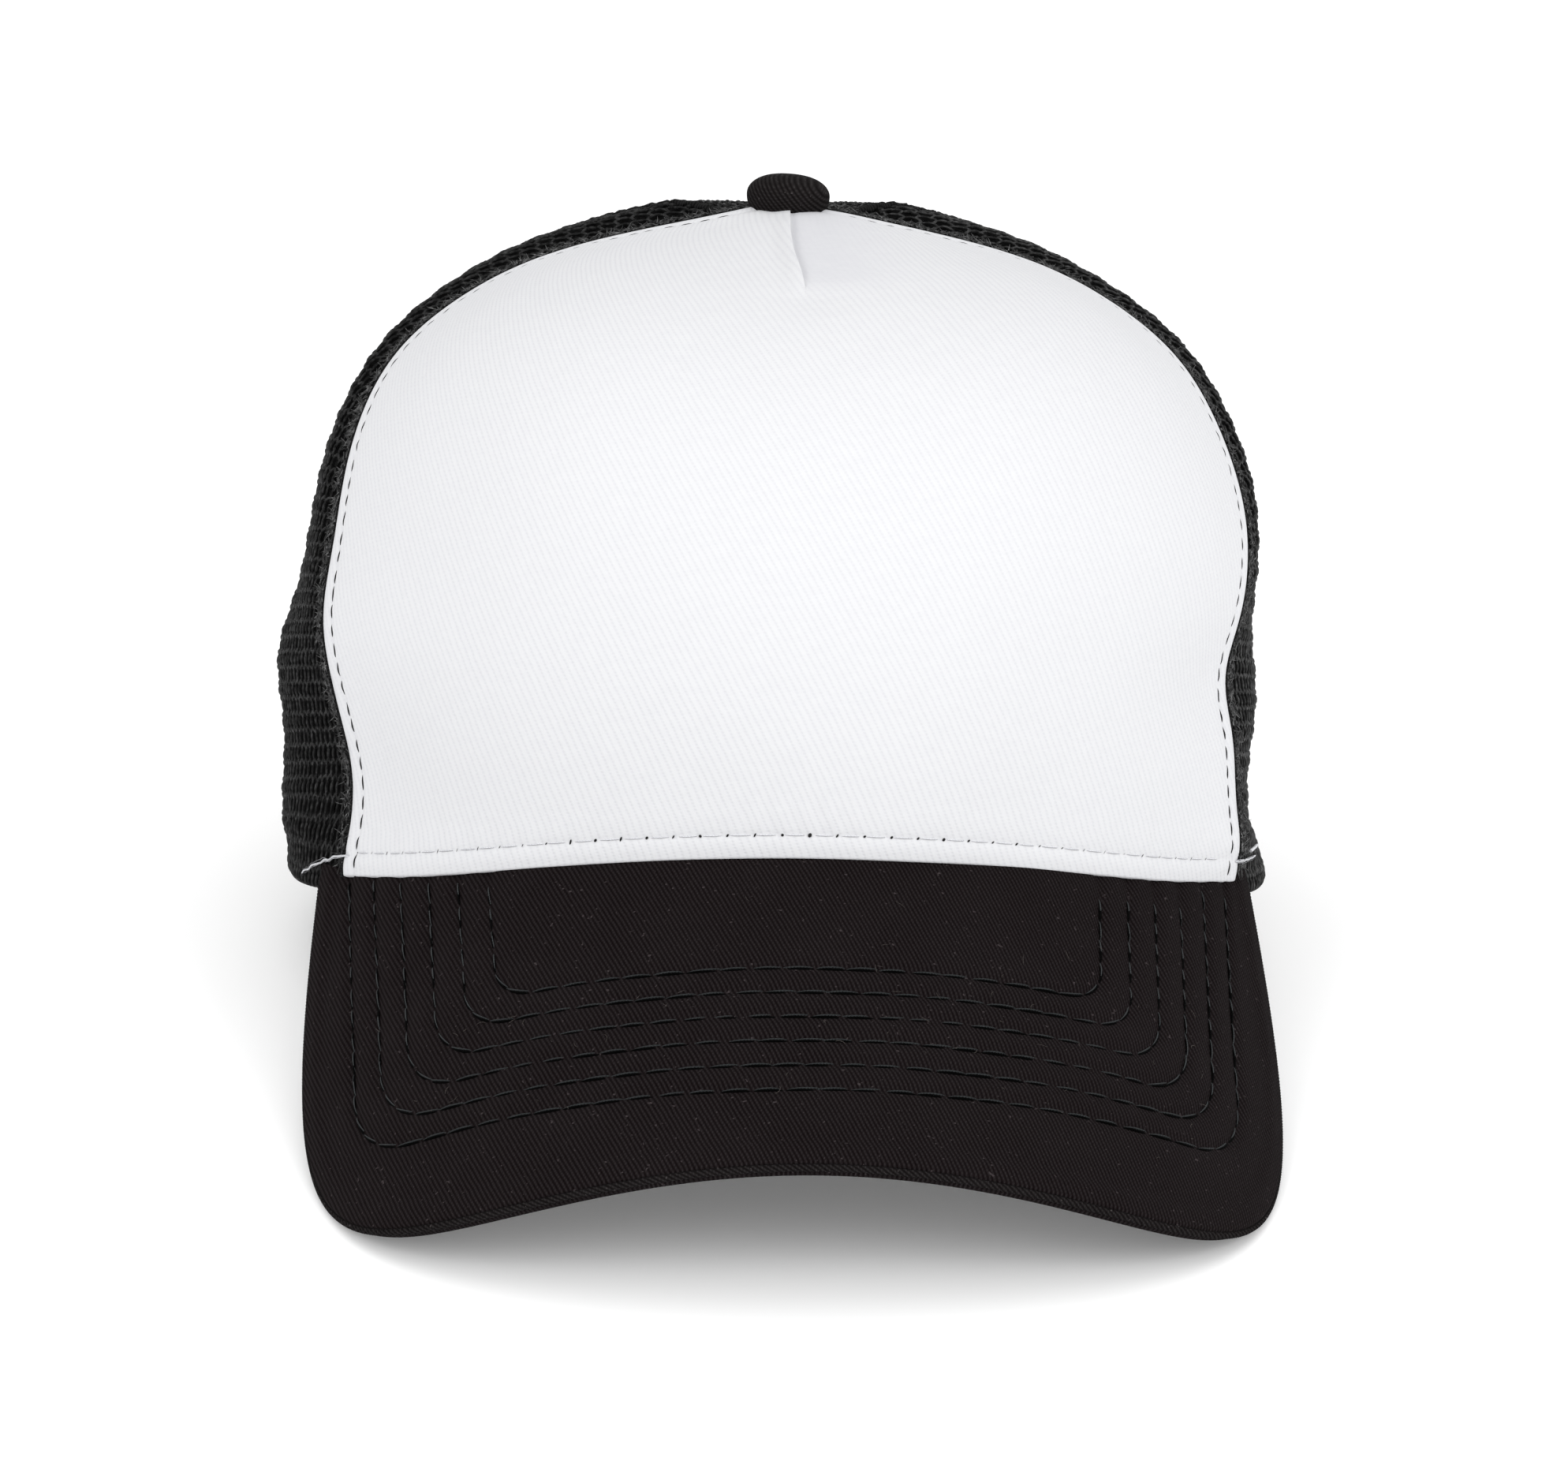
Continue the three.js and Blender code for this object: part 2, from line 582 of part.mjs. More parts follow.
// A flat plate inside the crown, with the post that holds the button through the panels.
function buttonRivet() {
  const bottom = crownTop - TAPE[1] - 1.6;
  const post = 2;
  return turned([
    [0, bottom], [6.5, bottom], [6.5, bottom + 0.8], [post, bottom + 0.8],
    [post, crownTop + BUTTON_HEIGHT - 2.2], [0, crownTop + BUTTON_HEIGHT - 2.2],
  ], 16);
}

// ---------------------------------------------------------------- materials

const cloth = (color, roughness = 0.9) =>
  new THREE.MeshStandardMaterial({ color, roughness, metalness: 0 });
const WHITE_CLOTH = cloth(0xe9e9ec);
const WHITE_FOAM = cloth(0xdcdcdc, 1);
const BLACK_MESH = cloth(0x161616, 0.6);
const BLACK_TWILL = cloth(0x141214);
const BLACK_TAPE = cloth(0x1b1b1b, 0.8);
const BLACK_PLASTIC = cloth(0x1a1a1a, 0.4);
const WHITE_PLASTIC = cloth(0xe6e6e6, 0.5);
const STEEL = new THREE.MeshStandardMaterial({ color: 0xb4b4b4, roughness: 0.35, metalness: 1 });

// ---------------------------------------------------------------- assembly

const cap = new THREE.Group();

function add(name, geometry, material) {
  const mesh = new THREE.Mesh(geometry, material.clone());
  mesh.name = name;
  cap.add(mesh);
  return mesh;
}

const SIDES = { right: 1, left: -1 };

add("front_panel", frontPanel(), WHITE_CLOTH);
add("front_foam", frontFoam(), WHITE_FOAM);
for (const [name, side] of Object.entries(SIDES)) {
  add("side_mesh_" + name, sideMesh(side), BLACK_MESH);
  add("rear_mesh_" + name, rearMesh(side), BLACK_MESH);
  add("hem_binding_" + name, hemBinding(side), BLACK_TAPE);
  add("seam_tape_front_" + name, seamTape((rise) => side * frontSeam(rise), 0.03), BLACK_TAPE);
  add("seam_tape_rear_" + name, seamTape(() => side * REAR_SEAM_AZIMUTH, 0.03), BLACK_TAPE);
}
add("seam_tape_centre_back", seamTape(() => Math.PI, ARCH_TOP + 0.02), BLACK_TAPE);
add("back_opening_trim", archTrim(), BLACK_TAPE);
add("sweatband", sweatband(), BLACK_TAPE);
add("hole_strap", holeStrap(SIDES.right), BLACK_PLASTIC);
add("hole_strap_sewn_end", sewnEnd(SIDES.right), BLACK_PLASTIC);
add("peg_strap", pegStrap(SIDES.left), BLACK_PLASTIC);
add("peg_strap_sewn_end", sewnEnd(SIDES.left), BLACK_PLASTIC);
add("brim_top_cover", brimLayer(BRIM_LAYERS.top_cover, 0), BLACK_TWILL);
add("brim_core", brimLayer(BRIM_LAYERS.core, CORE_INSET), WHITE_PLASTIC);
add("brim_under_cover", brimLayer(BRIM_LAYERS.under_cover, 0), BLACK_TWILL);
add("button_cover", buttonCover(), BLACK_TWILL);
add("button_shell", buttonShell(), STEEL);
add("button_rivet", buttonRivet(), STEEL);

// ---------------------------------------------------------------- resting pose

// The height of the lowest point of a node, with the cap tipped back by an angle, and where it is.
function lowest(name, tilt) {
  const position = cap.getObjectByName(name).geometry.attributes.position;
  const points = Array.from({ length: position.count }, (_, i) =>
    new THREE.Vector3().fromBufferAttribute(position, i));
  const height = (p) => p.z * Math.cos(tilt) - p.y * Math.sin(tilt);
  const point = points.reduce((low, p) => (height(p) < height(low) ? p : low));
  return { point, height: height(point) };
}

// The tilt at which the brim's corners and the back hem reach the same level.
function restingTilt() {
  let tilt = 0;
  for (let turn = 0; turn < 8; turn++) {
    const front = lowest("brim_under_cover", tilt).point;
    const back = lowest("hem_binding_right", tilt).point;
    tilt = Math.atan2(back.z - front.z, back.y - front.y);
  }
  return tilt;
}

const tilt = restingTilt();
const floorHeight = lowest("brim_under_cover", tilt).height + FOOT_FLAT;

// Press the resting points flat against the surface that the cap stands on.
const belowFloor = new THREE.BoxGeometry(400, 500, 20).translate(0, 0, floorHeight - 10);
belowFloor.rotateX(tilt);
for (const name of ["brim_under_cover", "hem_binding_right", "hem_binding_left"]) {
  const mesh = cap.getObjectByName(name);
  mesh.geometry = geometryFrom(solidOf(mesh.geometry).subtract(solidOf(belowFloor)));
}

cap.rotation.x = -tilt;
const whole = new THREE.Box3().setFromObject(cap, true);
const middle = whole.getCenter(new THREE.Vector3());
cap.position.set(-middle.x, -middle.y, -whole.min.z);

const root = new THREE.Group();
root.add(cap);

export default root;
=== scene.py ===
import json
import math

import bmesh
import bpy
import numpy as np
from mathutils import Matrix, Vector


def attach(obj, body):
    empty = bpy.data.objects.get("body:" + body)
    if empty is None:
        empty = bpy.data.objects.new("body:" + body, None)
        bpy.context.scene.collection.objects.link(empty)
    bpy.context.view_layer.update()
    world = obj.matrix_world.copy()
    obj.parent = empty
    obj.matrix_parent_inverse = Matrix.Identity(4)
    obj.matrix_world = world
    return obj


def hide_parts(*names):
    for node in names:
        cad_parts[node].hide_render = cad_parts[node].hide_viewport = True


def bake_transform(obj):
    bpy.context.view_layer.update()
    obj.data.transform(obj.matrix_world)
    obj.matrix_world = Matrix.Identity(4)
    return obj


# A trucker cap's cloth, net, thread and plastic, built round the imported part. Lengths are in
# millimetres in the crown's own frame until placed() turns them into the row frame.

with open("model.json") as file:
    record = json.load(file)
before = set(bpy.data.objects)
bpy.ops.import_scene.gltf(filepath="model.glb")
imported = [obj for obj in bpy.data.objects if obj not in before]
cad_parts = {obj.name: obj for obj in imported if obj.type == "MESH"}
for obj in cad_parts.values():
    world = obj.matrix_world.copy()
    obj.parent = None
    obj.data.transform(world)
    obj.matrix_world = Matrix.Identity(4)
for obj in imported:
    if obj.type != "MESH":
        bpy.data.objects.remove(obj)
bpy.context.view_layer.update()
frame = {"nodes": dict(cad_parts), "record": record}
rng = np.random.default_rng(7)

# -------- the part's own dimensions

HALF_WIDTH, FRONT_REACH, BACK_REACH, CROWN_HEIGHT = 92.8, 87.5, 95.0, 130.2
TOP_FLATTENING, SIDE_TUCK, FRONT_LEAN = 0.05, 0.024, 0.024
SQUARENESS = [(0, 2.8), (60, 3.45), (100, 3.1), (180, 2.35)]
FRONT_SEAM_AZIMUTH, FRONT_SEAM_POWER = math.radians(60.8), 1.42
REAR_SEAM_AZIMUTH = math.radians(121)
PANEL_TOP = 0.955
NET_PUFF, PUFF_REACH = (1.0, 4.2), 12.0
ARCH_HALF_ANGLE, ARCH_TOP, TRIM_WIDTH = math.radians(29), 0.3, 8.0
BRIM_RADIUS, BRIM_SLOPE, BRIM_RISE = 112.0, math.radians(30.9), 24.6
BRIM_LENGTH, BRIM_HALF_ARC, BRIM_WIDEST = 73.8, 100.5, 8.9
BRIM_ROOT_AZIMUTH, CORNER_SHARE = math.radians(66.5), 0.62
BRIM_THICKNESS, BRIM_ROWS = 3.8, 6
STRAP_HEIGHT, STRAP_LIFT, SEWN_LENGTH, HINGE_STANDOFF = 19.0, 4.0, 17.0, 4.2
HOLE_STRAP, PEG_STRAP, SEWN_STRAP = (2.1, 3.1), (3.4, 4.4), (3.3, 4.3)  # depths of their faces
PEG_COUNT, PEGS_ENGAGED, PEG_PITCH, FIRST_PEG, HOLE_RADIUS = 7, 4, 8.4, 6.2, 2.5
BUTTON_RADIUS, BUTTON_HEIGHT = 7.7, 5.6
GAP = 0.3
SIDES = {"right": 1, "left": -1}

# Soft dents and bulges of a sewn crown that has been handled: azimuth in degrees, height,
# spread in degrees, spread in height, and how far outwards.
HANDLING = [
    (-64, 57, 14, 8, 2.0), (-63, 28, 14, 9, -2.6), (-96, 42, 15, 10, 2.6), (-80, 114, 20, 6, -1.5),
    (64, 75, 16, 12, 2.0), (64, 47, 12, 7, -2.8), (90, 19, 14, 10, -4.0), (92, 47, 12, 9, -1.4),
    (64, 15, 9, 7, 1.8), (85, 114, 18, 6, -1.6), (150, 60, 20, 20, -1.2), (-148, 70, 18, 22, 0.9),
    (-94, 44, 11, 8, 1.9), (-94, 19, 11, 14, 2.4), (88, 42, 10, 8, 1.5), (90, 14, 9, 8, 1.0),
]

# -------- the row frame

opening = next(m for m in frame["record"]["mounts"] if m["name"] == "head_opening")
crown_up = -np.array(opening["axis"], float)
crown_origin = np.array(opening["pos_m"], float)
crown_axes = np.stack([[1.0, 0.0, 0.0], np.cross(crown_up, [1.0, 0.0, 0.0]), crown_up])


def placed(points):
    return np.asarray(points, float) @ crown_axes / 1000 + crown_origin


# -------- crown surface

def smooth(t):
    t = np.clip(t, 0, 1)
    return t * t * (3 - 2 * t)


def unit(v):
    return v / np.linalg.norm(v, axis=-1, keepdims=True)


def lengths(points, axis=0):
    """How far along its line each point is."""
    steps = np.linalg.norm(np.diff(points, axis=axis), axis=-1)
    return np.insert(np.cumsum(steps, axis=axis), 0, 0, axis=axis)


def bump(x, middle, spread):
    return np.exp(-(((x - middle) / spread) ** 2) / 2)


def degrees_round(azimuth):
    return np.degrees(np.arctan2(np.sin(azimuth), np.cos(azimuth)))


def squareness(azimuth):
    turned = np.abs(degrees_round(azimuth))
    power = np.full(np.shape(turned), SQUARENESS[0][1], float)
    for (a0, p0), (a1, p1) in zip(SQUARENESS, SQUARENESS[1:]):
        power += (p1 - p0) * smooth((turned - a0) / (a1 - a0))
    return power


def hem_plan(azimuth):
    reach = np.where(np.cos(azimuth) > 0, FRONT_REACH, BACK_REACH)
    return HALF_WIDTH * np.sin(azimuth), -reach * np.cos(azimuth)


def hem_height(azimuth):
    x, y = hem_plan(azimuth)
    sag = BRIM_RADIUS - np.sqrt(BRIM_RADIUS**2 - x**2)
    on_brim = BRIM_RISE + math.tan(BRIM_SLOPE) * (FRONT_REACH + y) - sag / math.cos(BRIM_SLOPE)
    return np.maximum(on_brim, 0) * (1 - smooth((np.abs(degrees_round(azimuth)) - 55) / 50))


def front_seam(rise):
    power = float(squareness(FRONT_SEAM_AZIMUTH))
    share = np.arctan(np.tan(np.pi / 2 * np.clip(rise, 0, 0.999)) ** (power / 2))
    swing = (share / (np.pi / 2)) ** (1 / FRONT_SEAM_POWER)
    return FRONT_SEAM_AZIMUTH + (np.pi / 2 - FRONT_SEAM_AZIMUTH) * swing


def net_puff(azimuth, rise, inward, up):
    """How far the net stands out beyond the line of the foam-backed front panel."""
    turned = np.radians(np.abs(degrees_round(azimuth)))
    behind = smooth((turned - front_seam(rise)) * inward * HALF_WIDTH / PUFF_REACH)
    clear = smooth((up - 0.25) / 0.4) * smooth((inward - 0.075) / 0.2)
    return (NET_PUFF[0] + (NET_PUFF[1] - NET_PUFF[0]) * up) * behind * clear


def crown_surface(azimuth, rise):
    azimuth, rise = np.broadcast_arrays(np.asarray(azimuth, float), np.asarray(rise, float))
    power = squareness(azimuth)
    c, s = np.cos(np.pi / 2 * rise), np.sin(np.pi / 2 * rise)
    length = (np.abs(c) ** power + np.abs(s) ** power) ** (-1 / power)
    inward, up = c * length, s * length
    hem = hem_height(azimuth)
    x, y = hem_plan(azimuth)
    tuck = SIDE_TUCK * (1 - np.maximum(0, 1 - up / 0.45) ** 2) * np.sin(azimuth) ** 2
    lean = FRONT_LEAN * np.maximum(np.cos(azimuth), 0) ** 2 * up
    scale = inward * (1 - tuck - lean)
    height = hem + (CROWN_HEIGHT - hem) * (up - TOP_FLATTENING * 4 * inward * (1 - inward))
    push = np.zeros(azimuth.shape)
    for where, level, wide, tall, out in HANDLING:
        away = degrees_round(azimuth - math.radians(where))
        push += out * bump(away, 0, wide) * bump(height, level, tall)
    push *= smooth((height - hem + 2) / 12)
    outwards = np.stack([np.sin(azimuth), -np.cos(azimuth), np.zeros(azimuth.shape)], -1)
    puff_way = unit(outwards * inward[..., None] + np.array([0, 0, 1.0]) * up[..., None])
    puff = puff_way * net_puff(azimuth, rise, inward, up)[..., None]
    return np.stack([x * scale, y * scale, height], -1) + push[..., None] * outwards + puff


def travel(azimuth, rise):
    step = 1e-4
    across = crown_surface(azimuth + step, rise) - crown_surface(azimuth - step, rise)
    upward = crown_surface(azimuth, rise + step) - crown_surface(azimuth, rise - step)
    return across / (2 * step), upward / (2 * step)


def outward(azimuth, rise):
    return unit(np.cross(*travel(azimuth, rise)))


def crown_point(azimuth, rise, depth):
    depth = np.asarray(depth, float)
    return crown_surface(azimuth, rise) - outward(azimuth, rise) * depth[..., None]


def rise_at(azimuth, height):
    return height / np.linalg.norm(travel(azimuth, 0.001)[1], axis=-1)


def hem_drop(azimuth):
    """How far the net hangs below the crown's hem line beside the brim."""
    turned = np.abs(degrees_round(azimuth))
    return 2.5 * smooth((turned - 60.5) / 6) * smooth((103 - turned) / 26)


def arch_place(turn, margin):
    half = ARCH_HALF_ANGLE + margin / BACK_REACH
    return math.pi - half * np.cos(turn), (ARCH_TOP + rise_at(math.pi, margin)) * np.sin(turn)


class Track:
    """A line on the crown, by its length in mm from where it starts."""

    def __init__(self, azimuth, rise):
        self.azimuth, self.rise = np.broadcast_arrays(azimuth, rise)
        self.run = lengths(crown_surface(self.azimuth, self.rise))
        self.length = self.run[-1]

    def at(self, s):
        return np.interp(s, self.run, self.azimuth), np.interp(s, self.run, self.rise)

    def beside(self, s, aside):
        """The place that many mm to the left of the track as seen from outside."""
        azimuth, rise = self.at(s)
        across, upward = travel(azimuth, rise)
        ahead = crown_surface(*self.at(s + 0.5)) - crown_surface(*self.at(s - 0.5))
        way = unit(np.cross(np.cross(across, upward), ahead))
        rr, ru, uu = (np.sum(a * b, -1) for a, b in
                      ((across, across), (across, upward), (upward, upward)))
        dr, du = np.sum(across * way, -1) * aside, np.sum(upward * way, -1) * aside
        det = rr * uu - ru * ru
        return azimuth + (dr * uu - du * ru) / det, rise + (du * rr - dr * ru) / det

    def points(self, s, aside, depth):
        s, aside, depth = np.broadcast_arrays(s, aside, depth)
        return crown_point(*self.beside(s, aside), depth)

    def stand(self, aside, depth=0.0, relief=None):
        """A way to place thread along the track: points and outward normals at distances s."""
        def place(s):
            azimuth, rise = self.beside(s, aside)
            up = relief(azimuth, rise) if relief else 0.0
            return crown_point(azimuth, rise, depth - up), outward(azimuth, rise)
        return place


# -------- meshes

def turned_outwards(points, faces):
    volume = 0.0
    for f in faces:
        for k in range(1, f.shape[1] - 1):
            a, b, c = points[f[:, 0]], points[f[:, k]], points[f[:, k + 1]]
            volume += np.sum(a * np.cross(b, c))
    return [f[:, ::-1] for f in faces] if volume < 0 else faces


def linked(name, data):
    made = bpy.data.objects.new(name, data)
    bpy.context.scene.collection.objects.link(made)
    return made


def mesh_piece(name, points, faces, look, weave, body="crown", slot=None, sharp=50):
    """A mesh from points in the crown's frame. Weave gives its cloth coordinates in mm and, as
    an optional third part, where the cloth is drawn smooth, which the white cloth also darkens as
    painted shade."""
    faces = turned_outwards(points, faces)
    mesh = bpy.data.meshes.new(name)
    where = placed(points)
    where[:, 2] = np.maximum(where[:, 2], 0)  # nothing reaches below the surface that it stands on
    mesh.from_pydata(where.tolist(), [], [q for f in faces for q in f.tolist()])
    cloth = np.zeros((len(points), 3), np.float32)
    cloth[:, :weave.shape[1]] = weave
    attribute = mesh.attributes.new("weave", "FLOAT_VECTOR", "POINT")
    attribute.data.foreach_set("vector", cloth.ravel())
    mesh.shade_smooth()
    mesh.set_sharp_from_angle(angle=math.radians(sharp))
    mesh.materials.append(look)
    made = linked(name, mesh)
    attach(made, body)
    return made


def quads_of(index):
    return np.stack([index[:-1, :-1], index[:-1, 1:], index[1:, 1:], index[1:, :-1]], -1).reshape(-1, 4)


def slab(name, outer, inner, look, weave, **how):
    """A closed sheet between two grids of points."""
    rows, columns = outer.shape[:2]
    count = rows * columns
    index = np.arange(count).reshape(rows, columns)
    top = quads_of(index)
    loop = np.concatenate([index[0], index[1:, -1], index[-1, -2::-1], index[-2:0:-1, 0]])
    after = np.roll(loop, -1)
    wall = np.stack([after, loop, loop + count, after + count], -1)
    points = np.concatenate([outer.reshape(-1, 3), inner.reshape(-1, 3)])
    cloth = np.tile(weave.reshape(-1, weave.shape[-1]), (2, 1))
    return mesh_piece(name, points, [top, top[:, ::-1] + count, wall], look, cloth, **how)


def tubes(name, rings, look, weave, **how):
    """Closed tubes from rings of points, as [tube, ring, corner]."""
    many, steps, size = rings.shape[:3]
    index = np.arange(many * steps * size).reshape(many, steps, size)
    after = np.roll(index, -1, axis=2)
    side = np.stack([index[:, :-1], after[:, :-1], after[:, 1:], index[:, 1:]], -1).reshape(-1, 4)
    ends = np.concatenate([index[:, 0, ::-1], index[:, -1]])
    return mesh_piece(name, rings.reshape(-1, 3), [side, ends], look, weave.reshape(-1, 2), **how)


def rounded(corners, radius, steps=4, spacing=None):
    """A closed outline with rounded corners, and points along its longer edges."""
    corners = np.array(corners, float)
    out = []
    for k, corner in enumerate(corners):
        before, after = corners[k - 1] - corner, corners[(k + 1) % len(corners)] - corner
        a, b = (corner + v * min(radius / np.linalg.norm(v), 0.45) for v in (before, after))
        for t in np.linspace(0, 1, steps + 1):
            out.append((1 - t) ** 2 * a + 2 * t * (1 - t) * corner + t * t * b)
        if spacing:
            reach = corners[(k + 1) % len(corners)]
            last = reach - after * min(radius / np.linalg.norm(after), 0.45)
            extra = int(np.linalg.norm(last - b) / spacing)
            out += [b + (last - b) * (n + 1) / (extra + 1) for n in range(extra)]
    return np.array(out)


def ribbon(name, track, outline, look, start=0.0, end=None, step=1.5, relief=None, taper=None,
           **how):
    """A strip of cloth along a track. Its outline is in [aside, depth], relief(s, aside, depth)
    gives how far each of its points is lifted outwards, and taper(s) narrows it."""
    end = track.length if end is None else end
    s = np.linspace(start, end, int((end - start) / step) + 2)[:, None]
    aside, depth = outline[None, :, 0], outline[None, :, 1]
    s, aside, depth = np.broadcast_arrays(s, aside, depth)
    lift = relief(s, aside, depth) if relief else 0.0
    narrow = taper(s) if taper else 1.0
    points = track.points(s, aside * narrow, depth - lift)
    weave = np.stack([s, np.broadcast_to(lengths(outline), s.shape)], -1)
    return tubes(name, points[None], look, weave, **how)


def thread_axes(centres, normals):
    """The ways ahead and aside at each step of threads, as [thread, step, xyz]."""
    ahead = unit(np.gradient(centres, axis=1))
    return ahead, unit(np.cross(normals, ahead))


def thread_rings(centres, normals, radius, sides=6):
    """Rings round threads whose centres and normals are [thread, step, xyz]."""
    ahead, aside = thread_axes(centres, normals)
    up = np.cross(ahead, aside)
    turn = np.linspace(0, 2 * np.pi, sides, endpoint=False)
    ring = up[:, :, None] * np.cos(turn)[:, None] + aside[:, :, None] * np.sin(turn)[:, None]
    rings = centres[:, :, None] + ring * np.broadcast_to(radius, centres.shape[:2])[:, :, None, None]
    run = lengths(centres, axis=1)[:, :, None]
    weave = np.stack(np.broadcast_arrays(turn * np.max(radius), run), -1)
    return rings, weave


def stitches(name, rows, look, pitch, share, radius, rise, sink, slant=0.0, **how):
    """Rows of stitches in one piece. Each row is (place, from, to), and each stitch rises out
    of the cloth in its middle and dives into it at its ends."""
    rings, weaves = [], []
    for place, start, end in rows:
        begin = np.arange(start, end - pitch, pitch)
        count = len(begin)
        t = np.linspace(0, 1, 9)
        length = pitch * share * (1 + 0.06 * rng.standard_normal(count))
        s = (begin + 0.05 * pitch * rng.standard_normal(count))[:, None] + length[:, None] * t
        points, normals = place(s)
        aside = thread_axes(points, normals)[1]
        lift = sink + (rise - sink) * np.sin(np.pi * t) ** 0.5
        tilt = slant * (1 + 0.4 * rng.standard_normal(count))[:, None] * (t - 0.5)
        centres = points + normals * lift[None, :, None] + aside * tilt[..., None]
        made, weave = thread_rings(centres, normals, radius * (0.62 + 0.38 * np.sin(np.pi * t)))
        rings.append(made)
        weaves.append(weave)
    return tubes(name, np.concatenate(rings), look, np.concatenate(weaves), **how)


# -------- finishes

class Finish:
    """A material drawn in cloth coordinates, in mm."""

    def __init__(self, name, roughness, specular, sheen=0.0, sheen_tint=(1, 1, 1), metallic=0.0):
        self.material = bpy.data.materials.new(name)
        self.material.use_nodes = True
        self.tree = self.material.node_tree
        self.shader = self.tree.nodes["Principled BSDF"]
        for socket, value in {"Roughness": roughness, "Specular IOR Level": specular,
                              "Sheen Weight": sheen, "Sheen Roughness": 0.4,
                              "Sheen Tint": (*sheen_tint, 1), "Metallic": metallic}.items():
            self.shader.inputs[socket].default_value = value
        self.weave = self.node("ShaderNodeAttribute", attribute_name="weave").outputs["Vector"]
        self.drawn_smooth_and_shaded = self.node("ShaderNodeSeparateXYZ", {"Vector": self.weave}).outputs["Z"]
        self.solid = self.node("ShaderNodeVectorMath", {
            0: self.node("ShaderNodeTexCoord").outputs["Object"], 1: (1000, 1000, 1000),
        }, operation="MULTIPLY").outputs[0]

    def node(self, kind, inputs=None, **settings):
        made = self.tree.nodes.new(kind)
        for key, value in settings.items():
            setattr(made, key, value)
        for key, value in (inputs or {}).items():
            if isinstance(value, bpy.types.NodeSocket):
                self.tree.links.new(value, made.inputs[key])
            else:
                made.inputs[key].default_value = value
        return made

    def math(self, operation, *values):
        return self.node("ShaderNodeMath", dict(enumerate(values)), operation=operation).outputs[0]

    def total(self, start, *parts):
        """A sum of (value, weight), added to a start."""
        for value, weight in parts:
            start = self.math("MULTIPLY_ADD", value, weight, start)
        return start

    def noise(self, pitch, vector=None, detail=3.0, roughness=0.55, stretch=(1, 1, 1)):
        """Noise between 0 and 1 whose features are about pitch mm across."""
        scaled = self.node("ShaderNodeVectorMath", {
            0: vector or self.solid, 1: tuple(v / pitch for v in stretch)}, operation="MULTIPLY")
        return self.node("ShaderNodeTexNoise", {
            "Vector": scaled.outputs[0], "Scale": 1.0, "Detail": detail, "Roughness": roughness,
        }).outputs["Fac"]

    def ribs(self, slope, pitch, wander=0.0, wander_pitch=3.0, vector=None):
        """Ribs between 0 and 1 across a direction in degrees, a pitch apart."""
        way = (math.cos(math.radians(slope)) / pitch, math.sin(math.radians(slope)) / pitch, 0)
        run = self.node("ShaderNodeVectorMath", {0: vector or self.weave, 1: way},
                        operation="DOT_PRODUCT").outputs["Value"]
        if wander:
            run = self.math("MULTIPLY_ADD", self.noise(wander_pitch), wander, run)
        wave = self.math("SINE", self.math("MULTIPLY", run, 2 * math.pi))
        return self.math("MULTIPLY_ADD", wave, 0.5, 0.5)

    def colours(self, factor, *stops):
        """The base colour by a factor, from stops of (position, colour)."""
        ramp = self.node("ShaderNodeValToRGB", {"Fac": factor})
        while len(ramp.color_ramp.elements) < len(stops):
            ramp.color_ramp.elements.new(0.5)
        for element, (position, colour) in zip(ramp.color_ramp.elements, stops):
            element.position = position
            element.color = (*colour, 1)
        self.tree.links.new(ramp.outputs["Color"], self.shader.inputs["Base Color"])
        return self

    def rough(self, factor, low, high):
        span = self.node("ShaderNodeMapRange", {"Value": factor, "To Min": low, "To Max": high})
        self.tree.links.new(span.outputs[0], self.shader.inputs["Roughness"])
        return self

    def relief(self, *layers):
        """Bumps from (height between 0 and 1, depth in mm), coarse first."""
        normal = None
        for height, depth in layers:
            inputs = {"Height": height, "Distance": depth / 1000, "Strength": 1.0}
            if normal:
                inputs["Normal"] = normal
            normal = self.node("ShaderNodeBump", inputs).outputs["Normal"]
        self.tree.links.new(normal, self.shader.inputs["Normal"])
        return self


def grey(value, warmth=0.0):
    return (value * (1 + warmth), value, value * (1 - warmth))


def twill(name, dark, light, pitch, slope, depth, specular=0.035):
    """Cotton twill: slanting ribs of yarn, each broken into steps by the yarn it crosses, with
    specks of lint."""
    made = Finish(name, 0.9, specular)
    rib = made.ribs(slope, pitch, wander=0.35, wander_pitch=2.2)
    step = made.ribs(slope + 62, pitch * 0.75, wander=0.4, wander_pitch=1.1)
    yarn = made.math("MULTIPLY", rib, made.math("MULTIPLY_ADD", step, 0.5, 0.5))
    fuzz = made.noise(0.45, detail=4.0)
    patch = made.noise(14.0, detail=3.0)
    lint = made.math("MULTIPLY", made.math("GREATER_THAN", made.noise(0.9, detail=1.0), 0.74), 0.9)
    tone = made.total(lint, (yarn, 0.6), (fuzz, 0.34), (patch, 0.14))
    made.colours(tone, (0.18, dark), (0.82, light), (1.0, tuple(2.2 * v for v in light)))
    made.rough(fuzz, 0.8, 0.97)
    return made.relief((patch, 0.15), (yarn, depth), (fuzz, depth * 0.6)).material


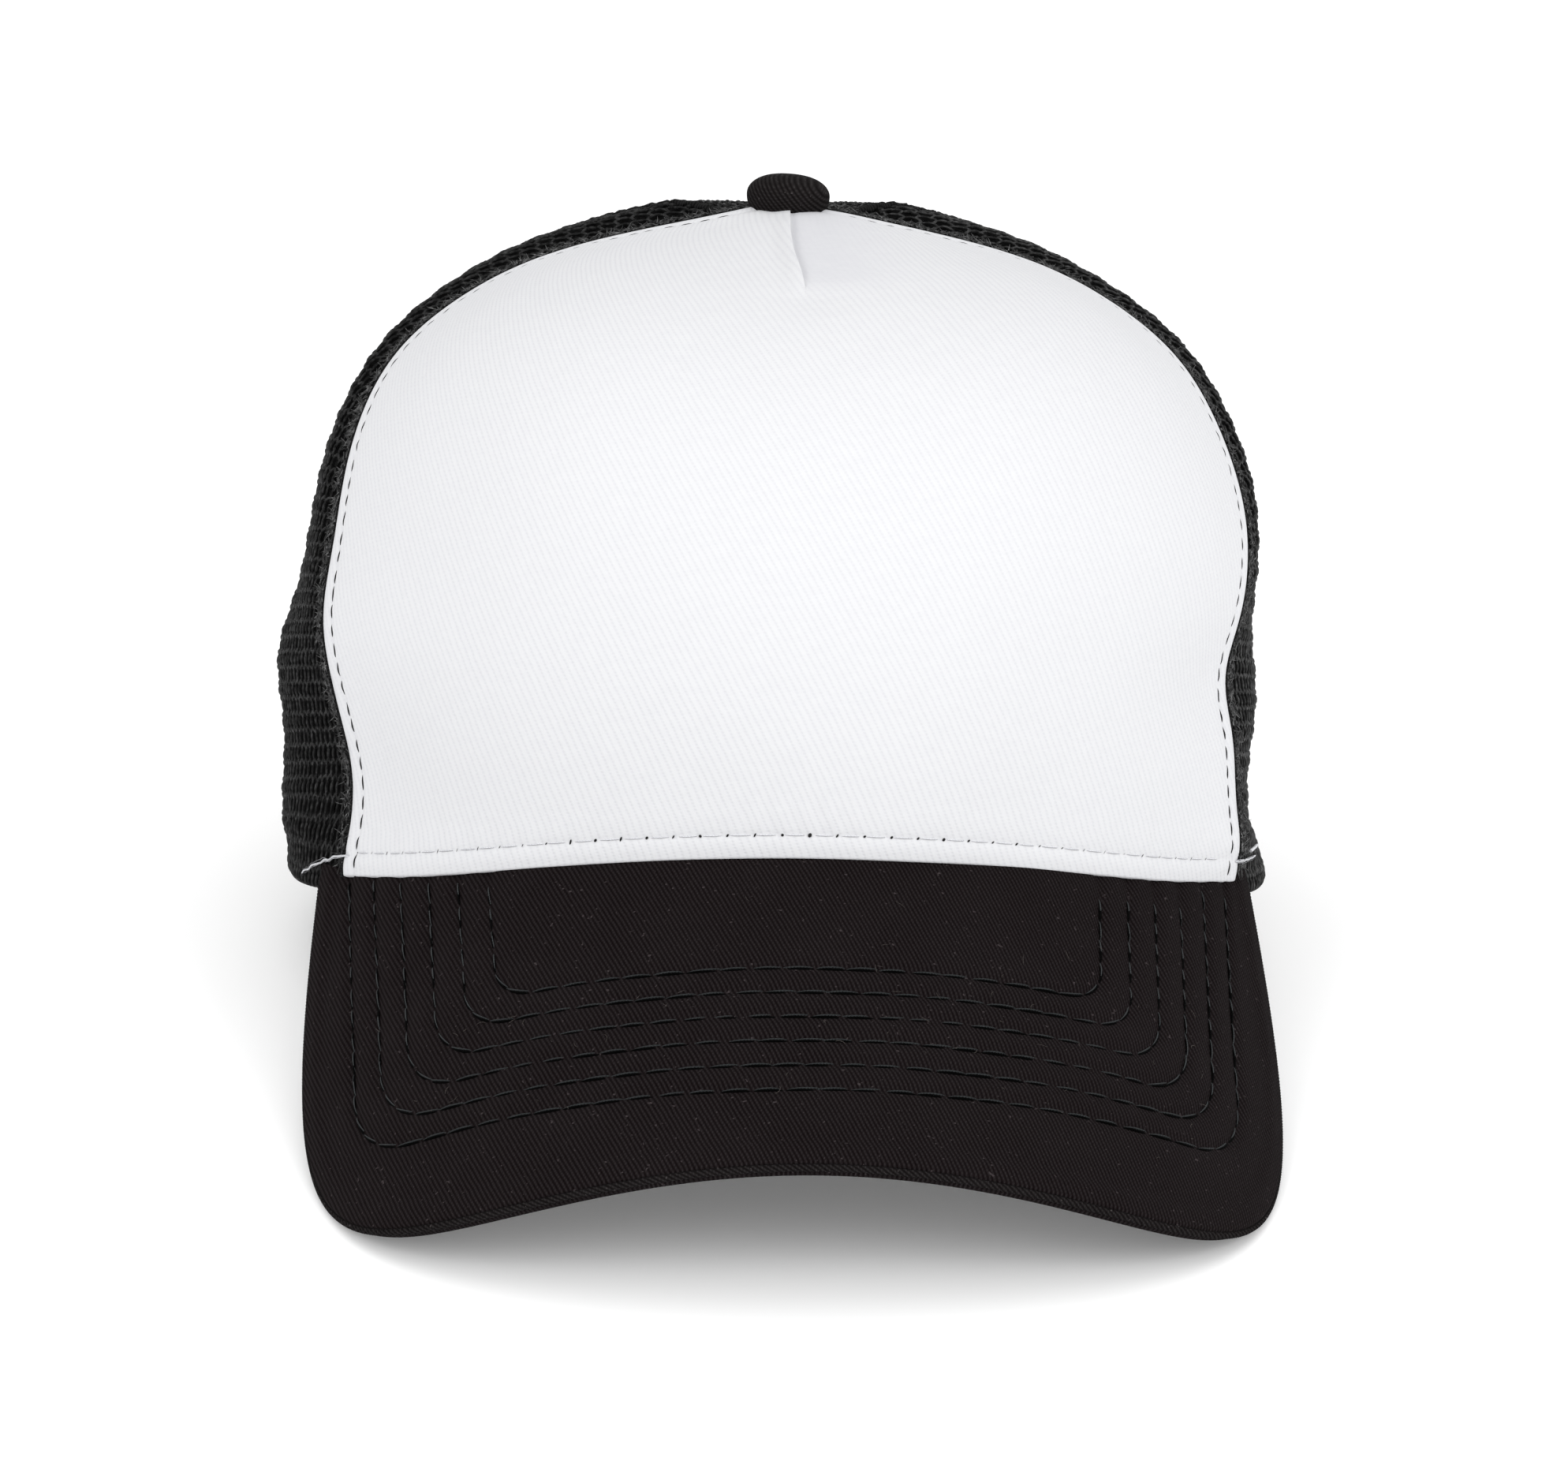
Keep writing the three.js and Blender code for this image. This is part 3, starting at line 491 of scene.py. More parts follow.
def white_cloth():
    made = Finish("white_polyester_twill", 0.85, 0.2, sheen=0.03)
    loose = made.math("MULTIPLY_ADD", made.drawn_smooth_and_shaded, -0.8, 1.0)
    rib = made.ribs(21, 1.3, wander=0.35, wander_pitch=5.0)
    step = made.ribs(100, 0.62, wander=0.3, wander_pitch=2.0)
    slub = made.noise(1.1, stretch=(0.35, 1.0, 1.0))
    pin = made.math("MULTIPLY", made.math("POWER", made.math("SUBTRACT", 1.0, rib), 2.5),
                    made.math("MULTIPLY_ADD", step, 0.6, 0.4))
    pin = made.math("MULTIPLY", pin, loose)
    # Where the cloth is drawn smooth its ribs fade, and its colour is darkened there as painted shade.
    tone = made.total(0.72, (slub, 0.3), (made.drawn_smooth_and_shaded, -0.30), (pin, -0.34))
    made.colours(tone, (0.1, (0.494, 0.493, 0.527)), (0.9, (0.600, 0.603, 0.615)))
    made.rough(slub, 0.75, 0.92)
    return made.relief((made.noise(22.0), 0.4), (pin, -0.05), (slub, 0.03)).material


def net_yarn(name, dark, light, specular):
    made = Finish(name, 0.5, specular)
    strands = made.ribs(0, 0.16, wander=1.3, wander_pitch=0.9)
    fuzz = made.noise(0.35, detail=4.0)
    lengths = made.noise(1.0, detail=1.0)
    # The coarse noise called lengths here draws painted glints: patches of the black yarn painted
    # lighter, where it is also smoother.
    tone = made.total(-0.55, (lengths, 1.5), (fuzz, 0.35), (strands, 0.2))
    made.colours(tone, (0.3, grey(dark)), (0.62, grey(0.4 * light)), (0.95, grey(light)))
    made.rough(lengths, 0.6, 0.3)
    return made.relief((fuzz, 0.08), (strands, 0.05)).material


def tape(name, dark, light, specular=0.2):
    """Woven tape: fine ribs across its length."""
    made = Finish(name, 0.85, specular)
    ribs = made.ribs(0, 0.55, wander=0.25)
    lines = made.ribs(90, 0.4, wander=0.3)
    fuzz = made.noise(0.45, detail=4.0)
    tone = made.total(0.0, (fuzz, 0.5), (ribs, 0.45))
    made.colours(tone, (0.15, grey(dark)), (0.85, grey(light)))
    made.rough(fuzz, 0.75, 0.95)
    return made.relief((ribs, 0.09), (lines, 0.04), (fuzz, 0.05)).material


def thread(name, dark, light, specular):
    """Spun thread: two plies twisted round each other."""
    made = Finish(name, 0.6, specular)
    plies = made.ribs(38, 0.34)
    fuzz = made.noise(0.2)
    made.colours(made.total(0.0, (fuzz, 0.4), (plies, 0.6)), (0.1, dark), (0.9, light))
    made.rough(fuzz, 0.5, 0.8)
    return made.relief((plies, 0.08), (fuzz, 0.02)).material


def foam():
    made = Finish("white_foam", 0.95, 0.1)
    cells = made.node("ShaderNodeTexVoronoi", {"Vector": made.solid, "Scale": 1.6}).outputs["Distance"]
    haze = made.noise(9.0)
    tone = made.total(0.0, (haze, 0.6), (cells, 0.5))
    made.colours(tone, (0.1, (0.62, 0.62, 0.60)), (0.8, (0.80, 0.80, 0.78)))
    return made.relief((haze, 0.5), (cells, 0.25)).material


def plastic(name, dark, light, roughness, specular=0.45):
    made = Finish(name, roughness, specular)
    grain = made.noise(0.25, detail=2.0)
    cloud = made.noise(7.0, detail=4.0)
    made.colours(cloud, (0.3, grey(dark)), (0.7, grey(light)))
    made.rough(cloud, roughness - 0.07, roughness + 0.1)
    return made.relief((cloud, 0.04), (grain, 0.012)).material


def steel():
    made = Finish("pressed_steel", 0.35, 0.5, metallic=1.0)
    lines = made.noise(0.2, stretch=(0.05, 1.0, 1.0))
    cloud = made.noise(3.0)
    made.colours(cloud, (0.3, grey(0.42)), (0.7, grey(0.6)))
    made.rough(lines, 0.28, 0.5)
    return made.relief((cloud, 0.03), (lines, 0.008)).material


WHITE_CLOTH = white_cloth()
BRIM_TWILL = twill("black_cotton_twill", (0.0022, 0.0008, 0.0010), (0.0165, 0.0135, 0.0140),
                   0.78, -21, 0.16)
BUTTON_TWILL = twill("black_button_twill", (0.0025, 0.0016, 0.0017), (0.0200, 0.0180, 0.0180),
                     0.75, 40, 0.16)
BAND_TWILL = twill("black_band_twill", grey(0.004), grey(0.012), 0.55, 45, 0.07)
# The net's ground is the same black yarn as its standing yarn, painted darker and less reflective as
# painted shade in its recesses.
NET_GROUND = net_yarn("black_net_ground_painted_shade", 0.0006, 0.0025, 0.05)
NET_YARN = net_yarn("black_net_yarn_painted_glints", 0.0010, 0.08, 0.24)
# The cut fibres are black yarn painted light grey as painted glints.
FIBRE = net_yarn("black_net_fibres_painted_glints", 0.02, 0.34, 0.3)
TAPE = tape("black_woven_tape", 0.004, 0.012, specular=0.10)
FRINGE = tape("black_net_fringe", 0.001, 0.016, specular=0.08)
BLACK_THREAD = thread("black_thread", grey(0.004), grey(0.018), 0.2)
# The brim's black thread is painted lighter than the cloth as a painted highlight along its stitches.
BRIM_THREAD = thread("black_brim_thread_painted_highlight", (0.020, 0.022, 0.023), (0.046, 0.050, 0.052), 0.15)
# A near-black thread laid in front of the brim's stitch rows as a painted crease shadow.
PAINTED_CREASE_SHADE = thread("painted_crease_shade", grey(0.0006), grey(0.002), 0.02)
LINT = thread("lint", (0.025, 0.02, 0.018), (0.08, 0.07, 0.065), 0.1)
WHITE_THREAD = thread("white_thread", (0.56, 0.57, 0.60), (0.74, 0.74, 0.76), 0.3)
FOAM = foam()
PLASTIC = plastic("black_plastic", 0.006, 0.012, 0.42)
BOARD = plastic("white_board", 0.62, 0.74, 0.5)
STEEL = steel()

# -------- front panel

FRONT_STITCH, HEM_STITCH = 4.0, 4.4  # from the panel's side edge and from its lower edge
EDGE_RADIUS = 0.7


def seam_line(side, rise):
    """The panel's edge on one side. On the right it is drawn outwards towards the hem."""
    flare = math.radians(1.75) * smooth(1 - np.maximum(rise, 0) / 0.26) if side > 0 else 0.0
    return side * front_seam(rise) + flare


def front_distances(azimuth, rise):
    across, upward = travel(azimuth, rise)
    side = np.minimum(seam_line(1, rise) - azimuth, azimuth - seam_line(-1, rise))
    side = side * np.linalg.norm(across, axis=-1)
    lower = rise * np.linalg.norm(travel(azimuth, 0.001)[1], axis=-1)
    return side, lower


def rolled(distance, radius):
    """How far a cloth edge that is turned under falls away from its face."""
    near = np.clip(distance / radius, 0, 1)
    return radius * (np.sqrt(np.maximum(1 - (1 - near) ** 2, 0)) - 1)


DART_END = 0.668  # the rise at which the dart runs out


def dart_line(rise):
    """How far the dart runs to one side of the middle, down the panel's top."""
    return 0.3 - 0.4 * bump(rise, 0.85, 0.05) + 1.3 * smooth((0.80 - rise) / 0.12)


def front_relief(azimuth, rise):
    side, lower = front_distances(azimuth, rise)
    fold = rolled(side, EDGE_RADIUS) + 0.3 * bump(side, 2.0, 1.1)
    fold += 0.2 * bump(side, 6.4, 2.2) - 0.34 * bump(side, FRONT_STITCH, 0.36)
    hem = rolled(lower, 0.6) + 0.2 * bump(lower, 2.2, 1.2) - 0.15 * bump(lower, HEM_STITCH, 0.4)
    hem += 0.1 * bump(lower, 7.0, 2.0)
    point = crown_surface(azimuth, rise)
    across = point[..., 0] - dart_line(rise)
    reach = smooth((rise - DART_END) / 0.08)
    crest = 0.85 - 0.6 * smooth((rise - 0.89) / 0.04)
    left = crest * smooth(1 + across / 5.0) ** 1.6 - 0.2 * bump(across, -3.4, 1.2)
    right = -0.22 * bump(across, 0.4, 0.6) - 0.4 * bump(across, 4.0, 3.5)
    ridge = np.where(across < 0, left, right)
    dimple = -0.3 * bump(across, 1.5, 5.0) * bump(rise, DART_END, 0.02)
    soft = 0.22 * np.sin(point[..., 0] / 11 + 0.6) * np.sin(point[..., 2] / 17)
    soft += 0.16 * np.sin(point[..., 0] / 6.3 - point[..., 2] / 21)
    pucker = 0.07 * np.sin(point[..., 2] * 2.1 + 3 * np.sin(point[..., 2] / 7)) * bump(side, 5.4, 1.6)
    pucker += 0.09 * np.sin(point[..., 0] * 1.42) * bump(lower, 7.6, 1.6)
    return fold + hem + ridge * reach + dimple + soft * smooth(side / 12) + pucker


def crowded(count, places, width, gain):
    """Shares from 0 to 1 that lie closer together near some places."""
    t = np.linspace(0, 1, 2000)
    weight = 1 + gain * sum(np.exp(-(((t - p) / width) ** 2)) for p in places)
    run = np.concatenate([[0], np.cumsum((weight[1:] + weight[:-1]) / 2)])
    return np.interp(np.linspace(0, 1, count), run / run[-1], t)


def front_grid(columns, rows):
    """Places over the panel, closer together at its edges and along the dart."""
    share = crowded(columns, (0, 0.5, 1), 0.045, 4.0)
    rise = PANEL_TOP * crowded(rows, (0,), 0.05, 4.0)[:, None]
    left, right = seam_line(-1, rise), seam_line(1, rise)
    clear = GAP / 2 / np.linalg.norm(travel(right, rise)[0], axis=-1)
    azimuth = left + clear + (right - left - 2 * clear) * share
    on_dart = (dart_line(rise) - 0.05) / travel(0.0, rise)[0][..., 0]
    aside = on_dart - azimuth[:, columns // 2, None]
    azimuth = azimuth + aside * bump(share, 0.5, 0.09) * smooth((rise - 0.55) / 0.1)
    return azimuth, np.broadcast_to(rise, azimuth.shape)


def grid_weave(points):
    """Cloth coordinates of a grid: across from the middle, and up its middle column."""
    across = lengths(points, axis=1)
    middle = points.shape[1] // 2
    up = np.broadcast_to(lengths(points[:, middle])[:, None], across.shape)
    across = across - across[:, middle:middle + 1] + points[:, middle:middle + 1, 0]
    return np.stack([across, up], -1)


azimuth, rise = front_grid(221, 161)
front_outer = crown_point(azimuth, rise, -front_relief(azimuth, rise))
front_inner = crown_point(azimuth, rise, 1.15)
front_weave = grid_weave(front_outer)
# The ribs lean over most halfway up the panel and stand upright at its top, and the cloth
# beside the dart is drawn smooth and darkened as painted shade.
share = front_weave[..., 1] / front_weave[..., 1].max()
front_weave[..., 0] += front_weave[..., 1] * share * (0.52 - 0.467 * share)
past_dart = front_outer[..., 0] - dart_line(rise)
drawn = smooth(past_dart / 0.5) * smooth((24 - past_dart) / 18) * smooth((rise - DART_END) / 0.06)
front_weave = np.concatenate([front_weave, drawn[..., None]], -1)
front_cloth = slab("front_cloth", front_outer, front_inner, WHITE_CLOTH, front_weave,
                   slot="front_fabric")
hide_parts("front_panel")

azimuth, rise = front_grid(61, 61)
foam_lumps = 0.18 * np.sin(azimuth * 31) * np.sin(rise * 37 + azimuth * 9)
foam_outer = crown_point(azimuth, rise, 1.25)
foam_inner = crown_point(azimuth, rise, 2.95 + foam_lumps)
foam_backing = slab("foam_backing", foam_outer, foam_inner, FOAM, grid_weave(foam_outer),
                    slot="front_foam")
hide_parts("front_foam")

seam_rise = np.linspace(0.0, PANEL_TOP, 400)
front_tracks = {side: Track(seam_line(side, seam_rise), seam_rise) for side in SIDES.values()}
hem_front = Track(np.linspace(seam_line(-1, 0.0), seam_line(1, 0.0), 300), 0.0)

front_pieces = [
    stitches("front_topstitch_" + name, [(
        front_tracks[side].stand(side * FRONT_STITCH, relief=front_relief), 1.5,
        front_tracks[side].length - 4)],
        BLACK_THREAD, pitch=3.5, share=0.86, radius=0.14, rise=0.16, sink=-0.16, slant=side * 0.4)
    for name, side in SIDES.items()
]
HEM_PITCH = 4.75
hem_place = hem_front.stand(HEM_STITCH, relief=front_relief)
front_pieces.append(stitches(
    "hem_topstitch", [(hem_place, 5, hem_front.length - 5)],
    WHITE_THREAD, pitch=HEM_PITCH, share=0.84, radius=0.16, rise=0.1, sink=-0.25))


def needle_marks():
    """Dark thread that shows in the needle holes between the hem's white stitches."""
    begin = np.arange(5, hem_front.length - 9, HEM_PITCH) - 0.4
    middle = hem_front.length / 2
    strong = np.exp(-(((begin - middle + 4) / 42) ** 4)) + 0.18
    t = np.linspace(0, 1, 5)
    points, normals = hem_place(begin[:, None] + 0.35 * t)
    aside = thread_axes(points, normals)[1]
    lean = 0.5 * (t - 0.5)[None, :, None] * (1 + 0.3 * rng.standard_normal((len(begin), 1, 1)))
    centres = points + normals * 0.1 + aside * lean
    size = 0.24 * strong[:, None] * (1 + 0.25 * rng.standard_normal((len(begin), 1)))
    rings, weave = thread_rings(centres, normals, np.abs(size) * np.sin(np.pi * (0.15 + 0.7 * t)))
    return tubes("hem_needle_marks", rings, BLACK_THREAD, weave)


front_pieces.append(needle_marks())

# -------- net panels

NET_WIDE, NET_TALL, NET_DEPTH = 2.2, 3.1, 1.6
COURSE_CLIMB = 4.2  # how far a course climbs from the crown's side to the front panel
# A net cell's outline round its middle, in shares of its size: the courses run along its lower
# and upper edges, and its neighbours above and below lie half a cell to the side.
CELL = np.array([(-.5, -.44), (0, -.54), (.5, -.44), (.5, -.25), (.5, 0), (.5, .25),
                 (.5, .44), (0, .54), (-.5, .44), (-.5, .25), (-.5, 0), (-.5, -.25)])
CELL_SIZE = np.array([NET_WIDE, NET_TALL])
HOLE = np.array([0.28, 0.25])  # half the width and height of its hole, in the same shares
# Yarn that stands out of each cell: a bar beside its hole, and two legs that lead on to the
# bars of the course above.
YARN_PATHS = np.array([[(-.5, -.30), (-.5, -.10), (-.5, .10), (-.5, .30)],
                       [(-.49, .33), (-.36, .45), (-.17, .56), (-.03, .68)],
                       [(.49, .33), (.36, .45), (.17, .56), (.03, .68)]])


def net_ripple(flat):
    """Every other course of the net stands out a little, and the knitting is uneven."""
    ripple = 0.13 * np.cos(np.pi * (flat[..., 1] / NET_TALL - 0.46))
    return ripple + 0.06 * np.sin(flat[..., 0] * 1.9) * np.sin(flat[..., 1] * 1.3)


class NetCloth:
    """A net between two azimuths, given at each of its rises, knitted square to the meridian at
    its centre. Its flat cloth has p across from that meridian and q up it, in mm."""

    STEPS, COLUMNS = 240, 400
    RISES = np.linspace(0.0, PANEL_TOP, STEPS)

    def __init__(self, low, high, centre):
        self.up = Track(centre, self.RISES).run
        low, high = (np.broadcast_to(edge, self.STEPS)[:, None] for edge in (low, high))
        turned = low + (high - low) * np.linspace(0, 1, 121)
        run = lengths(crown_surface(turned, self.RISES[:, None]), axis=1)
        run -= np.array([np.interp(centre, a, r) for a, r in zip(turned, run)])[:, None]
        self.run = run
        self.sideways = np.linspace(run.min(), run.max(), self.COLUMNS)
        self.table = np.stack([np.interp(self.sideways, r, a) for a, r in zip(turned, run)])

    def azimuth(self, p, q):
        pitch = self.sideways[1] - self.sideways[0]
        i = np.clip(np.interp(q, self.up, np.arange(self.STEPS)), 0, self.STEPS - 1.001)
        j = np.clip((p - self.sideways[0]) / pitch, 0, self.COLUMNS - 1.001)
        i0, j0 = i.astype(int), j.astype(int)
        fi, fj = i - i0, j - j0
        lower = self.table[i0, j0] * (1 - fj) + self.table[i0, j0 + 1] * fj
        upper = self.table[i0 + 1, j0] * (1 - fj) + self.table[i0 + 1, j0 + 1] * fj
        return lower * (1 - fi) + upper * fi

    def place(self, p, q):
        """The azimuth and rise of places on the flat cloth. The courses climb towards the front
        panel, between the hem and the shoulders."""
        turned = np.abs(degrees_round(self.azimuth(p, q)))
        q = q + COURSE_CLIMB * smooth((98 - turned) / 36) * smooth(q / 16) * smooth((105 - q) / 50)
        azimuth = self.azimuth(p, q)
        drop = hem_drop(azimuth) * smooth((14 - q) / 14)
        return azimuth, np.interp(q, self.up, self.RISES) - rise_at(azimuth, drop)

    def cells(self, keep):
        """The middles of the net's cells, and which of them are clear of its seams. Keep says
        whether a cell at an azimuth and rise is wanted."""
        rows = np.arange(0, int(self.up[-1] / NET_TALL))
        columns = np.arange(int(self.run.min() / NET_WIDE) - 1, int(self.run.max() / NET_WIDE) + 2)
        row, column = (a.ravel() for a in np.meshgrid(rows, columns, indexing="ij"))
        middle = np.stack([(column + 0.5 * (row % 2)) * NET_WIDE, (row + 0.46) * NET_TALL], -1)
        nearest = np.interp(middle[:, 1], self.up, np.arange(self.STEPS))
        nearest = np.clip(nearest, 0, self.STEPS - 1).astype(int)
        left, right = self.run[nearest, 0], self.run[nearest, -1]
        p, q = middle.T
        inside = (p > left - 0.35 * NET_WIDE) & (p < right + 0.35 * NET_WIDE)
        inside &= q < self.up[-1] - 0.5 * NET_TALL
        if keep:
            inside &= keep(*self.place(p, q))
        clear = (p > left + 0.6 * NET_WIDE) & (p < right - 0.6 * NET_WIDE)
        return middle[inside], clear[inside]


def net_ground(name, cloth, middle):
    """The knitted ground: a rounded collar of yarn round the hole of each cell."""
    cells, sides = len(middle), len(CELL)
    outer = middle[:, None] + CELL * CELL_SIZE
    turn = np.arctan2(CELL[:, 1], CELL[:, 0])
    hole = HOLE * np.stack([np.cos(turn), np.sin(turn)], -1) * CELL_SIZE
    hole = middle[:, None] + hole * (1 + 0.05 * rng.standard_normal((cells, sides, 1)))
    mid = 0.5 * outer + 0.5 * hole
    keys = np.round(outer.reshape(-1, 2) * 50).astype(int)
    _, first, shared = np.unique(keys, axis=0, return_index=True, return_inverse=True)
    corner = outer.reshape(-1, 2)[first]
    crest = 0.38 + net_ripple(corner)
    shoulder = 0.30 + 0.1 * (np.abs(CELL[:, 1]) > 0.4) * np.ones((cells, 1))

    flat = np.concatenate([corner, mid.reshape(-1, 2), hole.reshape(-1, 2),
                           mid.reshape(-1, 2), corner])
    lift = np.concatenate([crest, shoulder.ravel(), np.zeros(cells * sides), -shoulder.ravel(),
                           -crest])
    points = crown_point(*cloth.place(*flat.T), NET_DEPTH - lift)
    ring = np.arange(cells * sides).reshape(cells, sides) + len(corner)
    under = len(corner) + 3 * cells * sides
    shared = shared.reshape(cells, sides)
    levels = [shared, *(ring + level * cells * sides for level in range(3)), shared + under]
    faces = [np.stack([a, np.roll(a, -1, 1), np.roll(b, -1, 1), b], -1).reshape(-1, 4)
             for a, b in zip(levels, levels[1:])]
    # Where a cell has no neighbour, a wall joins the net's two faces.
    a, b = shared.ravel(), np.roll(shared, -1, 1).ravel()
    pairs = np.sort(np.stack([a, b], -1), axis=1)
    _, first, times = np.unique(pairs, axis=0, return_index=True, return_counts=True)
    bare = first[times == 1]
    faces.append(np.stack([b[bare], a[bare], a[bare] + under, b[bare] + under], -1))
    quads = np.concatenate(faces)
    area = np.linalg.norm(np.cross(points[quads[:, 2]] - points[quads[:, 0]],
                                   points[quads[:, 3]] - points[quads[:, 1]]), axis=1)
    return mesh_piece(name, points, [quads[area > 1e-4]], NET_GROUND, flat, slot="mesh")


def standing_yarn(name, cloth, middle):
    """The yarn that stands out of the ground at each cell."""
    line = middle[:, None, None] + YARN_PATHS * CELL_SIZE
    line = line + 0.06 * rng.standard_normal((*line.shape[:2], 1, 2))
    line = line.reshape(-1, 4, 2)
    places = cloth.place(line[..., 0], line[..., 1])
    arch = np.array([0.0, 0.12, 0.12, 0.0])
    centres = crown_point(*places, NET_DEPTH - 0.40 - net_ripple(line) - arch)
    radius = 0.19 + 0.06 * rng.random((len(centres), 1)) + 0.03 * np.array([0, 1, 1, 0])
    rings, weave = thread_rings(centres, outward(*places), radius, sides=5)
    return tubes(name, rings, NET_YARN, weave)


def net(name, low, high, centre, keep=None):
    cloth = NetCloth(low, high, centre)
    middle, clear = cloth.cells(keep)
    return net_ground(name, cloth, middle), standing_yarn(name + "_yarn", cloth, middle[clear])


def clear_of_arch(azimuth, rise):
    half = ARCH_HALF_ANGLE + 2.4 / BACK_REACH
    top = ARCH_TOP + float(rise_at(math.pi, 2.4))
    return ((math.pi - np.abs(azimuth)) / half) ** 2 + (rise / top) ** 2 > 1


SEAM_GAP = 0.004  # half the azimuth between two nets at a seam
SIDE_MIDDLE, REAR_MIDDLE = math.radians(98), math.radians(150)
side_back, rear_front = REAR_SEAM_AZIMUTH - SEAM_GAP, REAR_SEAM_AZIMUTH + SEAM_GAP
rear_back = math.pi - SEAM_GAP
panel_right = seam_line(1, NetCloth.RISES) + SEAM_GAP
panel_left = seam_line(-1, NetCloth.RISES) - SEAM_GAP
nets = {
    "side_mesh_right": net("side_net_right", panel_right, side_back, SIDE_MIDDLE),
    "side_mesh_left": net("side_net_left", -side_back, panel_left, -SIDE_MIDDLE),
    "rear_mesh_right": net("rear_net_right", rear_front, rear_back, REAR_MIDDLE, clear_of_arch),
    "rear_mesh_left": net("rear_net_left", -rear_back, -rear_front, -REAR_MIDDLE, clear_of_arch),
}
for node, (ground, yarn) in nets.items():
    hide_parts(node)

# -------- seams and their tapes

SEAM_STITCH = dict(pitch=3.2, share=0.78, radius=0.2)
HEM_TAPE_STITCH = dict(pitch=3.4, share=0.78, radius=0.2)
rear_tracks = {side: Track(side * REAR_SEAM_AZIMUTH, np.linspace(0.0, PANEL_TOP, 300))
               for side in SIDES.values()}
back_track = Track(math.pi, np.linspace(ARCH_TOP + 0.02, PANEL_TOP, 240))
fringe_pieces = {1: [], -1: []}


def fringe_relief(s, aside, depth):
    """The cut net's yarn ends make lumps along the fold."""
    lumps = 0.7 * np.sin(s * 4.3 + 2 * np.sin(s * 0.9)) + 0.6 * np.sin(s * 7.1 + aside * 2)
    dips = bump(np.mod(s + 0.4 * np.sin(s * 0.7), 3.1), 1.5, 0.45) * bump(np.abs(aside), 1.1, 0.5)
    return np.where(depth < 1, 0.14 * lumps - 0.6 * dips, 0.0)


def loose_fibres(name, track, side, count):
    """Short ends of yarn that stand out of the cut edge of the net."""
    t = np.linspace(0, 1, 6)
    start = rng.uniform(2, track.length - 3, count)
    aside = side * rng.uniform(-2.1, 0.2, count)
    points = track.points(start, aside, -0.35)
    azimuth, rise = track.beside(start, aside)
    normal = outward(azimuth, rise)
    along = unit(crown_surface(*track.at(start + 0.5)) - crown_surface(*track.at(start - 0.5)))
    across = np.cross(normal, along)
    turn = rng.uniform(0, 2 * np.pi, count)
    way = along * np.cos(turn)[:, None] + 0.8 * across * np.sin(turn)[:, None]
    way += normal * rng.uniform(0.05, 0.5, count)[:, None]
    curl = np.cross(normal, way) * rng.uniform(-0.9, 0.9, count)[:, None]
    length = rng.uniform(0.8, 2.4, count)[:, None, None]
    run = t[None, :, None] * length
    centres = points[:, None] + way[:, None] * run + curl[:, None] * run * t[None, :, None] * 0.6
    rings, weave = thread_rings(centres, np.broadcast_to(normal[:, None], centres.shape),
                                0.11 * (1.15 - t), sides=4)
    return tubes(name, rings, FIBRE, weave)


def net_seam(name, track, ridge_start, stitch_start):
    """The ridge of a seam between two nets, and the row of stitches on each side of it."""
    ridge = rounded([(-1.2, 1.4), (1.2, 1.4), (1.1, 0.35), (-1.1, 0.35)], 0.5, spacing=0.5)
    rows = [(track.stand(a, depth=1.05), stitch_start, track.length - 3) for a in (-3.2, 3.2)]
    return [
        ribbon(name.format("ridge"), track, ridge, FRINGE, start=ridge_start, step=0.7,
               relief=fringe_relief),
        stitches(name.format("topstitch"), rows, BLACK_THREAD, **SEAM_STITCH, rise=0.3, sink=-0.15),
    ]


for name, side in SIDES.items():
    track = front_tracks[side]
    fold = rounded([(side * 0.35, 1.5), (-side * 2.2, 1.5), (-side * 2.0, 0.25),
                    (side * 0.35, -0.3)], 0.35, steps=3, spacing=0.4)
    fringe_pieces[side] += [
        ribbon("front_seam_fold_" + name, track, fold, FRINGE, step=0.5, relief=fringe_relief),
        loose_fibres("front_seam_fibres_" + name, track, side, 1100),
    ]
    fringe_pieces[side] += net_seam("rear_seam_{}_" + name, rear_tracks[side], 3, 9)
back_pieces = net_seam("back_seam_{}", back_track, 0, 7)


def seam_tape(name, node, track, start, depth):
    """A tape over a seam's inside, narrower towards the button, with two rows of stitches."""
    outline = rounded([(-6, depth), (-6, depth + 0.55), (6, depth + 0.55), (6, depth)], 0.25,
                      spacing=0.8)
    end = track.length - 4

    def relief(s, aside, depth_there):
        inner = depth_there > depth + 0.3
        puff = 0.25 * bump(aside, 0, 2.2) - 0.15 * bump(np.abs(aside), 4, 0.5)
        return np.where(inner, -puff, 0.0)

    def narrowing(s):
        return np.minimum(1, (track.length + 5 - s) / 42)

    made = ribbon(name, track, outline, TAPE, start=start, end=end, step=1.2, relief=relief,
                  taper=narrowing, slot="binding_tape")
    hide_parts(node)
    rows = [(track.stand(a, depth=depth + 0.5), start + 2, end - 32) for a in (-4, 4)]
    return [made, stitches(name + "_stitches", rows, BLACK_THREAD, pitch=3.2, share=0.75, radius=0.2,
                           rise=-0.2, sink=0.15)]


for name, side in SIDES.items():
    fringe_pieces[side] += seam_tape("front_seam_tape_" + name, "seam_tape_front_" + name,
                                     front_tracks[side], 5, 3.3)
    fringe_pieces[side] += seam_tape("rear_seam_tape_" + name, "seam_tape_rear_" + name,
                                     rear_tracks[side], 5, 2.5)
back_pieces += seam_tape("back_seam_tape", "seam_tape_centre_back", back_track, 1, 2.5)

# -------- bindings and sweatband

HEM_TAPE_WIDTH = 8.0


